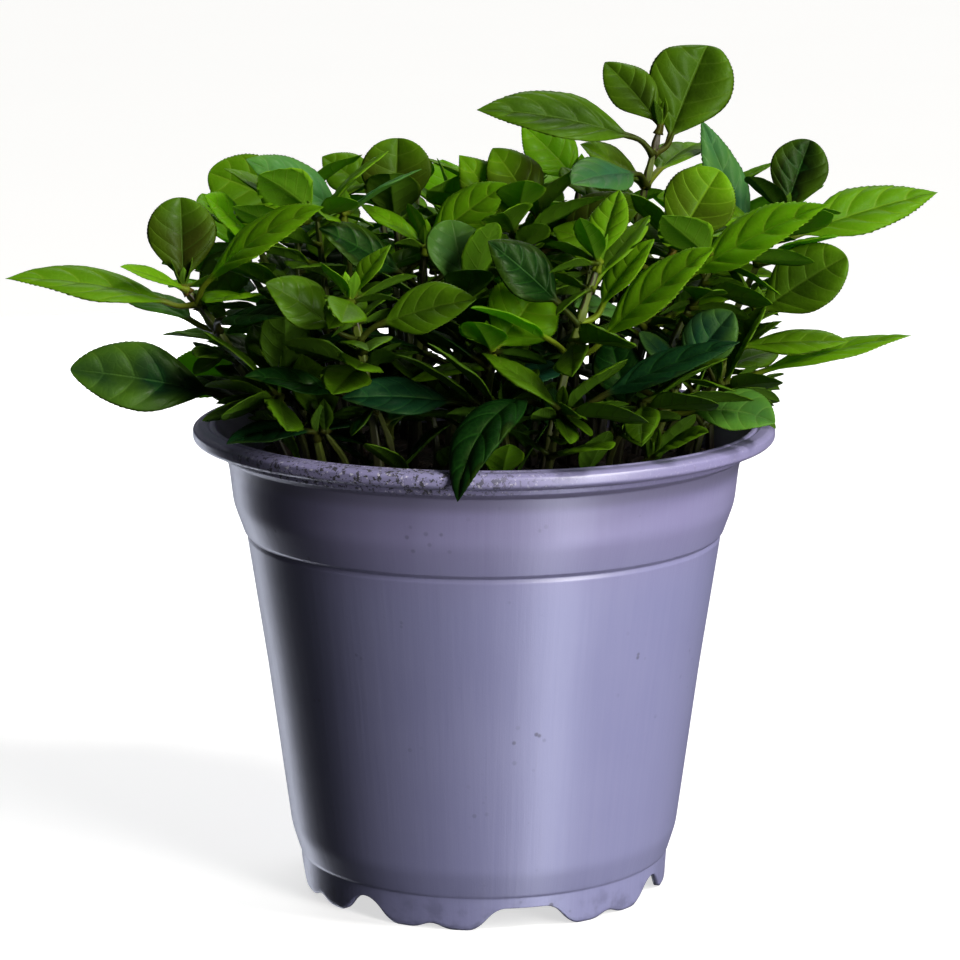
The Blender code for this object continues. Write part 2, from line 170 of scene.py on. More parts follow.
class Waves:
    # A smooth random field: the sum of sines with random directions, at about the given wavelength.

    def __init__(self, seed, size, count=14):
        rng = np.random.default_rng(seed)
        self.push = unit(rng.normal(size=(count, 3))) * rng.uniform(0.7, 1.5, (count, 1)) * 2 * math.pi / size
        self.phase = rng.uniform(0, 2 * math.pi, count)

    def at(self, points):
        return np.sin(points @ self.push.T + self.phase).sum(-1) / math.sqrt(len(self.phase) / 2)


class Wire:
    # One socket of a material. Sums on it add Math nodes, and node() adds any other node.

    def __init__(self, tree, socket=None):
        self.tree = tree
        self.socket = socket

    def node(self, kind, settings=None, sockets=None, output=0):
        made = self.tree.nodes.new("ShaderNode" + kind)
        for key, value in (settings or {}).items():
            if key == "stops":
                self.placeStops(made.color_ramp, value)
            else:
                setattr(made, key, value)
        for key, value in (sockets or {}).items():
            if isinstance(value, Wire):
                self.tree.links.new(value.socket, made.inputs[key])
            else:
                made.inputs[key].default_value = value
        return Wire(self.tree, made.outputs[output])

    def placeStops(self, ramp, stops):
        for place, _ in stops[2:]:
            ramp.elements.new(place)
        for element, (place, colour) in zip(ramp.elements, stops):
            element.position = place
            element.color = (*colour, 1.0)

    def other(self, output):
        return Wire(self.tree, self.socket.node.outputs[output])

    def maths(self, operation, *others):
        return self.node("Math", {"operation": operation}, dict(enumerate((self, *others))))

    def __add__(self, value):
        return self.maths("ADD", value)

    def __sub__(self, value):
        return self.maths("SUBTRACT", value)

    def __rsub__(self, value):
        return self.node("Math", {"operation": "SUBTRACT"}, {0: value, 1: self})

    def __mul__(self, value):
        return self.maths("MULTIPLY", value)

    def __pow__(self, value):
        return self.maths("POWER", value)

    __radd__ = __add__
    __rmul__ = __mul__

    def smooth(self, low, high):
        steps = {0: self, 1: low, 2: high, 3: 0.0, 4: 1.0}
        return self.node("MapRange", {"interpolation_type": "SMOOTHSTEP"}, steps)

    def blend(self, first, second):
        # colours mixed by this wire: first at 0, second at 1
        ends = {6: first, 7: second} if isinstance(first, Wire) else {6: (*first, 1.0), 7: second}
        if not isinstance(second, Wire):
            ends[7] = (*second, 1.0)
        return self.node("Mix", {"data_type": "RGBA"}, {0: self, **ends}, output=2)

    def noise(self, place, scale, detail=2.0, rough=0.5):
        sockets = {"Vector": place, "Scale": scale, "Detail": detail, "Roughness": rough}
        return self.node("TexNoise", {}, sockets)


def newMaterial(name):
    material = bpy.data.materials.new(name)
    material.use_nodes = True
    return material, Wire(material.node_tree), material.node_tree.nodes["Principled BSDF"]


def feed(shader, **wires):
    for key, wire in wires.items():
        socket = shader.inputs[key.replace("_", " ")]
        if isinstance(wire, Wire):
            wire.tree.links.new(wire.socket, socket)
        else:
            socket.default_value = wire


# A blade's rows of points follow its side veins. Row is 0 at the base and 1 at the tip, and a vein
# lies where count * row^crowd is whole. Towards the margin a row sweeps to the tip: its share of the
# blade's length is row^(1 - lean * edge - arch * edge^2).
bladeVeins = {"count": 5, "crowd": 0.8, "lean": 0.38, "arch": 0.22}

leafLook = {
    "young": (0.130, 0.310, 0.004),
    "mature": (0.011, 0.080, 0.001),
    "old": (0.0018, 0.014, 0.0018),
    # deep and deepVein are painted shade: near-black greens for leaves in the plant's shade
    "deep": (0.0008, 0.0045, 0.0008),
    "youngVein": (0.24, 0.40, 0.02),
    "matureVein": (0.060, 0.190, 0.006),
    "oldVein": (0.012, 0.060, 0.006),
    "deepVein": (0.005, 0.026, 0.004),
    "flush": (0.024, 0.013, 0.003),
    # a painted bluish sheen, a reflection painted into the base colour
    "frost": (0.025, 0.13, 0.08),
    "underside": (0.06, 0.14, 0.01),
    "petiole": (0.11, 0.17, 0.007),
    "petioleOld": (0.010, 0.026, 0.003),
    "petioleBlush": (0.10, 0.035, 0.010),
    "through": (0.29, 0.74, 0.004),
    "gleam": (0.5, 1.0, 0.18),
    "roughness": 0.38,
    "coat": 0.035,
}


def makeLeafMaterial():
    look = leafLook
    material, start, shader = newMaterial("mintLeaf")
    place = start.node("TexCoord", output=3)
    split = start.node("SeparateXYZ", {}, {0: start.node("UVMap", {"uv_map": "surfaceMap"})})
    row, spread = split, split.other(1)
    across = (spread * 2.0 - 1.0).maths("ABSOLUTE")
    tone = {key: start.node("Attribute", {"attribute_name": key}, output=2)
            for key in ("age", "flush", "frost", "under", "stalk")}
    beat = (row ** bladeVeins["crowd"] * bladeVeins["count"]).maths("FRACT")
    ridge = (beat - 0.5).maths("ABSOLUTE") * 2.0
    vein = ridge.smooth(0.84, 1.0) * (1.0 - across.smooth(0.8, 1.0)) * row.smooth(0.01, 0.05)
    rib = 1.0 - across.smooth(0.01, 0.06)
    lines = vein.maths("MAXIMUM", rib) * (1.0 - tone["stalk"])
    # a painted highlight along the blade's margin, mixed in below with the vein colours
    margin = across.smooth(0.93, 1.0) * (1.0 - tone["stalk"])
    broad = start.noise(place, 95.0, 3.0)
    fine = start.noise(place, 900.0, 2.0)
    cells = start.node("TexVoronoi", {"feature": "DISTANCE_TO_EDGE"}, {"Vector": place, "Scale": 620.0})
    mesh = 1.0 - cells.smooth(0.0, 0.16)
    # the leaf's age and painted shade, with random tone, younger towards the margin and the tip: the ramp
    # runs young, mature, old at 0.8 and on to the deep colours at 1, which are painted shade
    ripenessAndShade = tone["age"] + (broad - 0.42) * 0.40 - across.smooth(0.25, 1.0) * 0.16
    ripenessAndShade = ripenessAndShade - row.smooth(0.4, 1.0) * 0.08
    green, veinGreen = (ripenessAndShade.node("ValToRGB", {"stops": (
        (0.0, look["young" + kind]), (1.0, look["deep" + kind]), (0.45, look["mature" + kind]),
        (0.8, look["old" + kind]))}, {0: ripenessAndShade}) for kind in ("", "Vein"))
    green = (mesh * 0.14 + (fine - 0.5) * 0.2).blend(green, veinGreen)
    green = (lines * 0.45 + margin * 0.6).blend(green, veinGreen)
    blush = tone["flush"] * (1.0 - row.smooth(0.3, 0.9)) * (broad + 0.35) * (1.0 - lines * 0.5)
    green = blush.maths("MINIMUM", 0.92).blend(green, look["flush"])
    # a painted bluish sheen on some leaves, a reflection painted into the base colour
    green = (tone["frost"] * (broad * 0.9 + 0.1)).maths("MINIMUM", 0.8).blend(green, look["frost"])
    green = (tone["under"] * 0.55).blend(green, look["underside"])
    greenish = tone["age"].smooth(0.1, 0.9).blend(look["petiole"], look["petioleOld"])
    reddish = (tone["flush"] * 0.6 + broad * 0.3).blend(greenish, look["petioleBlush"])
    colour = tone["stalk"].blend(green, reddish)
    height = lines * -0.8 + mesh * -0.22 + fine * 0.2 + tone["under"] * lines * 1.6
    normal = start.node("Bump", {}, {"Strength": 0.4, "Distance": 0.0002, "Height": height})
    rough = look["roughness"] + fine * 0.10 + broad * 0.08 + tone["under"] * 0.18
    feed(shader, Base_Color=colour, Roughness=rough, Normal=normal, Coat_Weight=look["coat"],
         Coat_Roughness=0.22, Specular_IOR_Level=0.14, Specular_Tint=(*look["gleam"], 1.0))
    glow = start.node("BsdfTranslucent", {}, {"Color": (*look["through"], 1.0), "Normal": normal})
    amount = ((1.0 - tone["age"]) * 0.36 - lines * 0.08 - tone["flush"] * 0.15) * (1.0 - tone["stalk"])
    skin = start.node("MixShader", {}, {0: amount, 1: Wire(start.tree, shader.outputs[0]), 2: glow})
    surface = start.tree.nodes["Material Output"].inputs["Surface"]
    start.tree.links.new(skin.socket, surface)
    return material


stemLook = {
    "foot": (0.012, 0.007, 0.004),
    "middle": (0.038, 0.030, 0.008),
    "top": (0.10, 0.14, 0.011),
    "roughness": 0.42,
}


def makeStemMaterial():
    look = stemLook
    material, start, shader = newMaterial("mintStem")
    place = start.node("TexCoord", output=3)
    climb = start.node("Attribute", {"attribute_name": "climb"}, output=2)
    edge = start.node("Attribute", {"attribute_name": "edge"}, output=2)
    long = start.node("Mapping", {}, {"Vector": place, "Scale": (1.0, 1.0, 0.12)})
    streaks = start.noise(long, 900.0, 3.0)
    patches = start.noise(place, 110.0, 2.0)
    level = climb + (patches - 0.5) * 0.5 + (streaks - 0.5) * 0.25 + edge * 0.10
    colour = level.node("ValToRGB", {"stops": (
        (0.05, look["foot"]), (0.95, look["top"]), (0.5, look["middle"]))}, {0: level})
    normal = start.node("Bump", {}, {"Strength": 0.5, "Distance": 0.0001, "Height": streaks})
    feed(shader, Base_Color=colour, Roughness=look["roughness"] + streaks * 0.15, Normal=normal)
    return material


def mergedMesh(node):
    # The node's points with doubles merged, and which of them an edge joins.
    skin = bmesh.new()
    skin.from_mesh(node.data)
    bmesh.ops.remove_doubles(skin, verts=skin.verts, dist=1e-6)
    skin.verts.ensure_lookup_table()
    points = np.array([point.co[:] for point in skin.verts])
    linked = np.zeros((len(points), len(points)), bool)
    for edge in skin.edges:
        a, b = (end.index for end in edge.verts)
        linked[a, b] = linked[b, a] = True
    skin.free()
    return points, linked


def ringsFrom(points, linked):
    # The mesh as a tip and then rings of four, found by walking outwards from the tip.
    for first in np.flatnonzero(linked.sum(1) == 4):
        reached = np.zeros(len(points), bool)
        reached[first] = True
        front = reached.copy()
        levels = []
        while front.any():
            levels.append(np.flatnonzero(front))
            front = linked[front].any(0) & ~reached
            reached |= front
        if {len(level) for level in levels[1:-1]} == {4}:
            return [points[level] for level in levels]
    raise ValueError("a node isn't made of rings of four")


def bladeSection(ring):
    # centre, edge to edge vector and lift of one ring: the edges are the two points farthest apart
    apart = np.linalg.norm(ring[:, None] - ring[None], axis=-1)
    a, b = np.unravel_index(apart.argmax(), apart.shape)
    middle = ring[[k for k in range(4) if k not in (a, b)]].mean(0)
    return middle, ring[a] - ring[b], (ring[a] + ring[b]) / 2 - middle


def leafSpine(rings, tip, node):
    # The midline of a leaf of the frame from its node on the stem to its tip, and how its blade lies.
    sections = [bladeSection(ring) for ring in rings]
    centre = np.array([section[0] for section in sections])
    edge = np.array([section[1] for section in sections])
    lift = np.array([section[2] for section in sections])
    half = np.linalg.norm(edge, axis=1) / 2
    widest = int(half.argmax())
    side = unit(edge)
    line = np.concatenate([[node], centre, [tip]])
    along = unit(line[2:] - line[:-2])
    if np.dot(np.cross(side[widest], along[widest]), lift[widest]) < 0:
        side[widest] = -side[widest]
    for order in (range(widest + 1, len(side)), range(widest - 1, -1, -1)):
        before = widest
        for k in order:
            side[k] *= np.sign(np.dot(side[k], side[before]))
            before = k
    distance = np.concatenate([[0.0], np.cumsum(np.linalg.norm(np.diff(line, axis=0), axis=1))])
    return {
        "distance": distance, "centre": line, "side": np.concatenate([side[:1], side, side[-1:]]),
        "base": distance[2], "length": distance[-1] - distance[2], "half": half[widest],
        "fold": np.linalg.norm(lift[widest]) / half[widest],
    }


def freeSpine(root, heading, rise, blade, width, droop=12.0, roll=0.0, petiole=0.2):
    # The midline of a leaf that the frame hasn't: it leaves root at a heading and a rise that sinks by droop.
    stalk = petiole * blade
    whole = stalk + blade
    distance = np.linspace(0.0, whole, 17)
    turn, middle = math.radians(heading), (distance[1:] + distance[:-1]) / 2
    angle = np.radians(rise + droop * (0.5 - middle / whole))
    flat = np.array([math.cos(turn), math.sin(turn), 0.0])
    steps = np.diff(distance)[:, None] * (np.cos(angle)[:, None] * flat + np.sin(angle)[:, None] * upward)
    line = np.concatenate([[root], root + np.cumsum(steps, axis=0)])
    right = np.array([math.sin(turn), -math.cos(turn), 0.0])
    along = unit(np.gradient(line, distance, axis=0))
    normal = np.cross(np.broadcast_to(right, along.shape), along)
    twist = math.radians(roll) * np.minimum(1.0, distance / max(stalk, 2 * mm))[:, None]
    side = right * np.cos(twist) - normal * np.sin(twist)
    return {"distance": distance, "centre": line, "side": side, "base": stalk, "length": blade,
            "half": width / 2, "fold": 0.2}


def spineFrame(spine, distance):
    # centre, direction, side and upper normal of a leaf's spine at distances along it
    both, slope = curveThrough(spine["distance"], np.hstack([spine["centre"], spine["side"]]), distance)
    centre, side, along = both[:, :3], both[:, 3:], unit(slope[:, :3])
    side = unit(side - along * (side * along).sum(-1, keepdims=True))
    return centre, along, side, np.cross(side, along)


leafDetail = {
    "fine": {"veinRows": 8, "stalkRows": 7, "across": (0, 0.04, 0.12, 0.25, 0.42, 0.6, 0.78, 0.94, 1)},
    "plain": {"veinRows": 4, "stalkRows": 4, "across": (0, 0.09, 0.45, 0.88, 1)},
    "small": {"veinRows": 2, "stalkRows": 2, "across": (0, 0.15, 0.8, 1)},
}

leafRoof = cadBox[1][2] - 2.2 * mm
leafShape = {
    "stalkHalf": 0.8 * mm,
    "stalkThick": 0.66 * mm,
    "thick": 0.34 * mm,
    "rib": 0.42 * mm,
    "ribHalf": 0.5 * mm,
    "groove": 0.2 * mm,
    "quilt": 0.017,      # height of the cushions between veins, per unit of blade length
    "toothSize": 0.008,  # how far a tooth stands out, per unit of blade length
    "folds": (0.85, 1.35),  # least and most share of the spine's fold
    "curls": (0.05, 0.2),   # and of the margin's outward curl
    "waves": (0.06, 0.02),  # heights of the slow and the quick wave, per unit of half width
    "roofGive": 2.0 * mm,
}


def bladeOutline(share, blunt=0.4):
    # A full base, sin^0.85, up to the widest place and cos^q beyond it. A blunt blade has a small q and is
    # widest farther out.
    widest = 0.40 + 0.15 * blunt
    rise = np.sin(math.pi / 2 * np.clip(share / widest, 0, 1))
    fall = np.cos(math.pi / 2 * np.clip((share - widest) / (1 - widest), 0, 1))
    return rise ** 0.85 * fall ** (1.05 - 0.55 * blunt)


def leafSurface(spine, tone, detail, rng):
    # A petiole that widens into a blade, as one skin of rings carried along the spine, whose rows follow
    # the side veins. The height above the midline is a fold, an outward curl, a cushion, sin(pi beat)^0.6,
    # between each two veins, and a slow wave.
    kit, shape = leafDetail[detail], leafShape
    veins = bladeVeins["count"]
    row = (np.arange(veins * kit["veinRows"]) / (veins * kit["veinRows"])) ** (1 / bladeVeins["crowd"])
    row = np.concatenate([[0.0, 0.0006, 0.003], row[1:], [0.985, 0.998]])
    stalk = np.linspace(0.0, spine["base"], kit["stalkRows"], endpoint=False)
    row = np.concatenate([(stalk - spine["base"]) / spine["length"], row])[:, None]
    half = np.array(kit["across"], float)
    top = np.concatenate([-half[:0:-1], half])
    s = np.concatenate([top, top[-2:0:-1]])[None]
    under = np.concatenate([np.zeros(len(top)), np.ones(len(top) - 2)])[None]
    edge = np.abs(s)
    sweep = (bladeVeins["lean"] * edge + bladeVeins["arch"] * edge ** 2) * rng.uniform(0.85, 1.1)
    inner = np.clip(row, 0.0, 1.0)
    share = np.where(row > 0, inner ** (1 - sweep), row)
    b = np.clip(share, 0.0, 1.0)
    length = spine["length"]
    distance = spine["base"] + share * length
    centre, along, side, normal = (
        part.reshape(*share.shape, 3) for part in spineFrame(spine, distance.ravel()))

    # widths: a round stalk that flares at the stem, and the blade's outline
    small = min(1.0, 0.45 + length / (34 * mm))
    flare = 1 + 0.8 * np.exp(-(distance - distance[:1]) / (1.0 * mm))
    stalkHalf = shape["stalkHalf"] * small * flare * (1 - smooth(b, 0.0, 0.3))
    outline = spine["half"] * bladeOutline(b, np.clip(tone["blunt"] + rng.uniform(-0.1, 0.1), 0, 1))
    width = np.sqrt(stalkHalf ** 2 + outline ** 2)
    isBlade = smooth(share, -0.02, 0.09)

    # a small tooth on every other row of the margin
    odd = np.arange(len(row))[:, None] % 2
    tooth = odd * smooth(b, 0.15, 0.3) * (1 - smooth(b, 0.85, 1.0)) * rng.uniform(0.5, 1.2, (len(row), 1))
    reach = tooth * shape["toothSize"] * (1.3 - 0.8 * tone["age"]) * length * edge ** 6
    spread = s * width + np.sign(s) * reach
    forward = reach * 0.8

    # the height above the midline
    beat = np.mod(inner ** bladeVeins["crowd"] * veins, 1.0)
    cushion = np.sin(math.pi * beat) ** 0.6 * (1 - edge ** 4) * smooth(edge, -0.05, 0.25)
    uneven = rng.uniform(0.75, 1.15, len(top))
    uneven = np.concatenate([uneven, uneven[-2:0:-1]])
    cushion = cushion * smooth(inner, 0.0, 0.12) * (1 - smooth(inner, 0.8, 1.0)) * uneven
    push = rng.uniform(0, 2 * math.pi, 4)
    slow, quick = shape["waves"]
    wave = np.sin(2.1 * math.pi * b + push[0] + np.sign(s) * push[1]) * slow * edge ** 2
    wave = wave + np.sin(5.2 * math.pi * b + np.sign(s) * push[2] + push[3]) * quick * edge ** 3
    fold = spine["fold"] * rng.uniform(*shape["folds"])
    curl = rng.uniform(*shape["curls"])
    lift = width * (fold * (1.3 * edge ** 0.9 - 0.3 * edge ** 2) - curl * edge ** 4 + wave)
    lift = lift + shape["quilt"] * length * cushion * rng.uniform(0.7, 1.15)
    lift = lift - shape["groove"] * np.exp(-(s * width / shape["ribHalf"]) ** 2) * (1 - b) * isBlade
    thick = shape["thick"] * small * (0.35 + 0.65 * (1 - b)) * (1 - edge ** 6)
    rib = shape["rib"] * small * np.exp(-(s * width / shape["ribHalf"]) ** 2) * (1 - b) ** 0.7
    bladeHeight = lift + np.where(under > 0, -thick / 2 - rib, thick / 2)
    stalkRise = shape["stalkThick"] * small * flare * np.sqrt(1 - edge ** 2)
    channel = 0.3 * stalkRise * np.exp(-(s / 0.35) ** 2)
    stalkHeight = np.where(under > 0, -stalkRise, stalkRise - channel)
    height = isBlade * bladeHeight + (1 - isBlade) * stalkHeight

    rings = centre + side * spread[..., None] + along * forward[..., None] + normal * height[..., None]
    # the topmost leaf is pressed down a little, to stay in the frame's box
    over, give = np.maximum(rings[..., 2] - leafRoof, 0.0), shape["roofGive"]
    rings[..., 2] -= over - give * (1 - np.exp(-over / give))
    layers = {"u": inner, "v": (s + 1) / 2, "under": under * isBlade, "stalk": 1 - smooth(share, -0.03, 0.06)}
    # one value per leaf: the age, which also holds painted shade, the flush and the painted sheen
    layers.update({key: np.full((1, 1), tone[key]) for key in ("age", "flush", "frost")})
    return closedTube(rings, layers)


# How each leaf of the frame looks: age from 0, young and bright, to old and dark green, and on to near-black
# painted shade; the ages also paint the light and shade each leaf gets, a lit leaf younger and a shaded one
# older.
# With a purple flush at the base, a painted bluish sheen and how blunt it is. A pair goes by the number of
# its stem and of its node, and gives the left leaf first. A leaf with no flush or sheen may be an age alone.
leafTones = {
    "01_1": ((0.95, 0, 0.1, 0.8), (1.15, 0, 0, 0.6)),
    "01_2": ((0.40, 0, 0.5, 0.4), (1.15, 0, 0, 0.1)),
    "01_3": ((0.45, 0.1, 0, 0), (0, 0, 0, 0.2)),
    "02_1": ((1.15, 0, 0, 0.3), (1.15, 0, 0.1, 0.1)),
    "02_2": ((-0.15, 0, 0, 0.5), (0.30, 0, 0, 0.5)),
    "02_3": ((1.05, 0, 0, 0.2), (0.25, 0, 0, 0.5)),
    "03_1": ((0.75, 0, 0.6, 0.4), (0.40, 0.2, 0, 0.5)),
    "03_2": ((0.80, 0, 0, 0.1), (0.78, 0.15, 0, 1.0)),
    "04_1": ((1.15, 0, 0, 0.3), (0.30, 0, 0, 0.5)),
    "04_2": ((0.80, 0, 0, 0.5), (0.75, 0, 0, 0.3)),
    "05_1": ((1.15, 0, 0.2, 0.5), (1.15, 0, 0.3, 0.4)),
    "06_1": ((0.60, 0, 0.5, 0.3), (0.10, 0, 0, 0.5)),
    "06_2": ((0.50, 0, 0, 0.5), (0, 0, 0, 0.1)),
    "07_1": ((0.70, 0, 0.8, 0), (-0.20, 0, 0, 0.5)),
    "07_2": ((0.40, 0, 0, 0.6), (0.40, 0, 0, 0)),
    "08_1": ((1.15, 0, 0, 0.5), (0.40, 0, 0, 0.1)),
    "09_1": ((1.15, 0, 0, 0.5), (0.50, 0, 0.4, 0.6)),
    "11_1": (1.15, 1.15),
    "12_1": (1.15, 0.65),
    "13_1": (0.95, 0.65),
    "14_1": (1.0, -0.10),
    "15_1": (1.05, 1.15),
    "17_1": (0.05, 1.0),
    "18_1": (0.30, 0),
    "18_2": ((0.20, 0.7, 0, 0.3), (0.75, 0.6, 0, 0.4)),
    "19_1": (0.15, 0.90),
    "20_1": ((0.25, 0, 0, 0.8), (0.50, 0, 0, 0.5)),
    "20_2": (0.05, 0.10),
    "22_1": (0.60, 1.15),
    "22_2": (0, 1.0),
    "23_1": (1.15, 1.15),
    "23_2": (0.30, 0.05),
    "24_1": (0.55, 1.15),
    "24_2": (0.15, 0.45),
    "stem_01": (0.80, 0.55, 0, 1.0),
    "stem_02": 0.30,
    "stem_03": (0.80, 0.20, 0, 0.6),
    "stem_04": (0.35, 0.1, 0, 0.3),
    "stem_05": (-0.20, 0, 0, 0.7),
    "stem_06": (0.30, 0.8, 0, 0.9),
    "stem_07": (1.0, 0.15, 0, 1.0),
    "stem_08": (0.75, 0.1, 0, 1.0),
    "stem_09": (0.95, 0, 0.2, 0.8),
    "stem_10": (1.15, 0, 0.1, 0.2),
    "stem_11": (0.75, 0, 0.3, 0.9),
    "stem_12": (0.70, 0.60, 0, 1.0),
    "stem_13": (0.40, 0, 0.75, 0.2),
    "stem_14": (0.45, 0.1, 0, 1.0),
    "stem_15": (-0.25, 0, 0, 0.3),
    "stem_16": 0.60,
    "stem_17": (-0.10, 0, 0, 0.5),
    "stem_18": (0.25, 0.9, 0, 0.4),
    "stem_19": 0.25,
    "stem_20": (-0.05, 0.1, 0, 0.6),
    "stem_21": 0.85,
    "stem_22": 0.25,
    "stem_23": 0.10,
    "stem_24": 0.25,
}


# A leaf that the table hasn't takes its age and painted shade from the height of its tip: lower down it is
# painted darker, as in shade, and far out it is younger and painted lighter, as lit.
plainTone = {"levels": (105 * mm, 125 * mm, 140 * mm, 158 * mm), "ages": (1.2, 1.08, 0.74, 0.38),
             "outer": (42 * mm, 66 * mm), "outerYouth": 0.3, "blunt": 0.4}


def toneOf(age, flush=0.0, frost=0.0, blunt=plainTone["blunt"]):
    return {"age": age, "flush": flush, "frost": frost, "blunt": blunt}


def toneFor(name, tip, place=None):
    # the table's tone, or one with painted shade that darkens towards the mix and the middle of the plant
    stated = leafTones.get(name.replace("leaf_pair_", ""))
    if stated is None:
        shade = plainTone
        age = float(np.interp(tip[2], shade["levels"], shade["ages"]))
        age *= 1 - shade["outerYouth"] * float(smooth(math.hypot(tip[0], tip[1]), *shade["outer"]))
        return toneOf(age)
    if place is not None:
        stated = stated[place]
    return toneOf(*stated) if isinstance(stated, tuple) else toneOf(stated)


stemShape = {"ringPoints": 16, "step": 1.3 * mm, "swelling": 0.34, "swellingReach": 1.3 * mm}


def readStem(name):
    # A stem of the frame from foot to top, with its tip leaf. The node's rings run the other way: the
    # leaf's tip, its six rings, and the stem's. Corner follows one edge of the square up the stem.
    rings = ringsFrom(*mergedMesh(nodes[name]))
    tip, leafRings, body = rings[0][0], rings[6:0:-1], rings[:6:-1]
    centre = np.array([ring.mean(0) for ring in body] + [leafRings[0].mean(0)])
    corner = [body[0][0] - centre[0]]
    for ring, middle in zip(body[1:], centre[1:]):
        choices = ring - middle
        corner.append(choices[(unit(choices) @ unit(corner[-1])).argmax()])
    corner.append(corner[-1] * 0.8)
    corner = np.array(corner)
    distance = np.concatenate([[0.0], np.cumsum(np.linalg.norm(np.diff(centre, axis=0), axis=1))])
    return {"distance": distance, "centre": centre, "corner": unit(corner),
            "half": np.linalg.norm(corner, axis=1), "tip": tip, "leafRings": leafRings, "nodes": []}


def stemPoint(stem, distance):
    # the stem's centre, direction and half thickness at distances from its foot
    distance = np.atleast_1d(distance)
    centre, along = curveThrough(stem["distance"], stem["centre"], distance)
    half = np.interp(distance, stem["distance"], stem["half"])
    return centre, unit(along), half


def nearestOn(stem, point):
    # distance along the stem of its place nearest to point
    distance = np.linspace(0.0, stem["distance"][-1], 400)
    centre, _, _ = stemPoint(stem, distance)
    return distance[np.linalg.norm(centre - point, axis=1).argmin()]


def stemSurface(stem):
    # A rounded square carried up the stem: radius = half * (0.84 + 0.16 cos 4a), wider at the leaf nodes.
    shape = stemShape
    whole = stem["distance"][-1]
    distance = np.linspace(0.0, whole, int(whole / shape["step"]))
    centre, along, half = stemPoint(stem, distance)
    corner, _ = curveThrough(stem["distance"], stem["corner"], distance)
    corner = unit(corner - along * (corner * along).sum(-1, keepdims=True))
    other = np.cross(along, corner)
    swell = sum(np.exp(-((distance - node) / shape["swellingReach"]) ** 2) for node in stem["nodes"])
    half = half * (1 + shape["swelling"] * np.minimum(swell, 1.0))
    half = half * (1 - 0.75 * smooth(distance, whole - 2.2 * mm, whole))
    turn = np.linspace(0, 2 * math.pi, shape["ringPoints"], endpoint=False)[None, :, None]
    radius = half[:, None, None] * (0.84 + 0.16 * np.cos(4 * turn))
    rings = centre[:, None] + radius * (corner[:, None] * np.cos(turn) + other[:, None] * np.sin(turn))
    climb = smooth(centre[:, 2:], 92 * mm, stem["centre"][-1, 2] + 6 * mm) * stem.get("pale", 1.0)
    edge = 0.5 + 0.5 * np.cos(4 * turn[..., 0])
    return closedTube(rings, {"climb": climb, "edge": edge})


# Where leaves may be: the cells of space, a margin inside the frame's box, the pot's rim, and how much
# of a leaf lies on its own stem.
room = {"cell": 0.8 * mm, "below": 85 * mm, "lowest": 97.2 * mm, "margin": 1.0 * mm,
        "rimTop": 107 * mm, "rimReach": 54 * mm, "ownStem": 3.6 * mm, "stalkStart": 3.2 * mm}
# rows and columns of points over a blade: to place it, and to mark the cells it fills
samples = {"place": (26, 11), "fill": (44, 25), "placeFrame": (36, 17), "fillFrame": (60, 33)}


class Crowd:
    # Which cells of space are taken, to tell whether there is room for one more leaf.

    def __init__(self):
        self.low, self.cell = np.array(cadBox[0]) + upward * room["below"], room["cell"]
        self.taken = np.zeros(np.ceil((np.array(cadBox[1]) - self.low) / self.cell).astype(int) + 5, bool)

    def cells(self, points):
        place = ((points - self.low) / self.cell).astype(int) + 2
        return np.clip(place, 2, np.array(self.taken.shape) - 3)

    def add(self, points, reach=1):
        # the points' cells and those next to them
        place = self.cells(points.reshape(-1, 3))
        step = np.arange(-reach, reach + 1)
        around = np.stack(np.meshgrid(step, step, step), -1).reshape(-1, 3)
        self.taken[tuple((place[:, None] + around).reshape(-1, 3).T)] = True

    def blocked(self, points):
        # which of the points lie in a taken cell
        return self.taken[tuple(np.moveaxis(self.cells(points), -1, 0))]


def leafSamples(spine, kind="place"):
    # points over the blade and along the outer part of the petiole, for the crowd
    rows, columns = samples[kind]
    share, base = np.linspace(0.02, 1.0, rows), spine["base"]
    stalk = np.linspace(min(room["stalkStart"], base), base, 5)
    centre, _, side, normal = spineFrame(spine, np.concatenate([base + share * spine["length"], stalk]))
    s = np.linspace(-1, 1, columns)[None, :, None]
    half = (spine["half"] * bladeOutline(share))[:, None, None]
    blade = centre[:rows, None] + side[:rows, None] * s * half
    blade = blade + normal[:rows, None] * spine["fold"] * np.abs(s) * half
    return np.concatenate([blade.reshape(-1, 3), centre[rows:]])


# The crown's outline as seen from the front: x, and the height that leaves reach there. Points are
# carried onto the plane y = 0 along the line from the eye, where the camera stands.
eye = np.array([0.0, -0.680, 0.224])
crown = np.array([
    (-84, 120), (-78, 143), (-71, 152), (-62, 162), (-34, 164.5), (-18, 166), (-3, 163.5), (17, 164.5),
    (26, 161), (37, 159), (45, 153), (52, 163), (70, 164), (76, 161), (81, 150), (88, 130)]) * mm
crownSkirt = (-66 * mm, 67 * mm, 137 * mm)  # below this height the crown is only this wide


def outsideCrown(points):
    ahead = points - eye
    seen = eye - ahead * eye[1] / ahead[..., 1:2]
    low, high, level = crownSkirt
    tooHigh = seen[..., 2] > np.interp(seen[..., 0], crown[:, 0], crown[:, 1])
    tooWide = (seen[..., 2] < level) & ((seen[..., 0] < low) | (seen[..., 0] > high))
    return tooHigh | tooWide


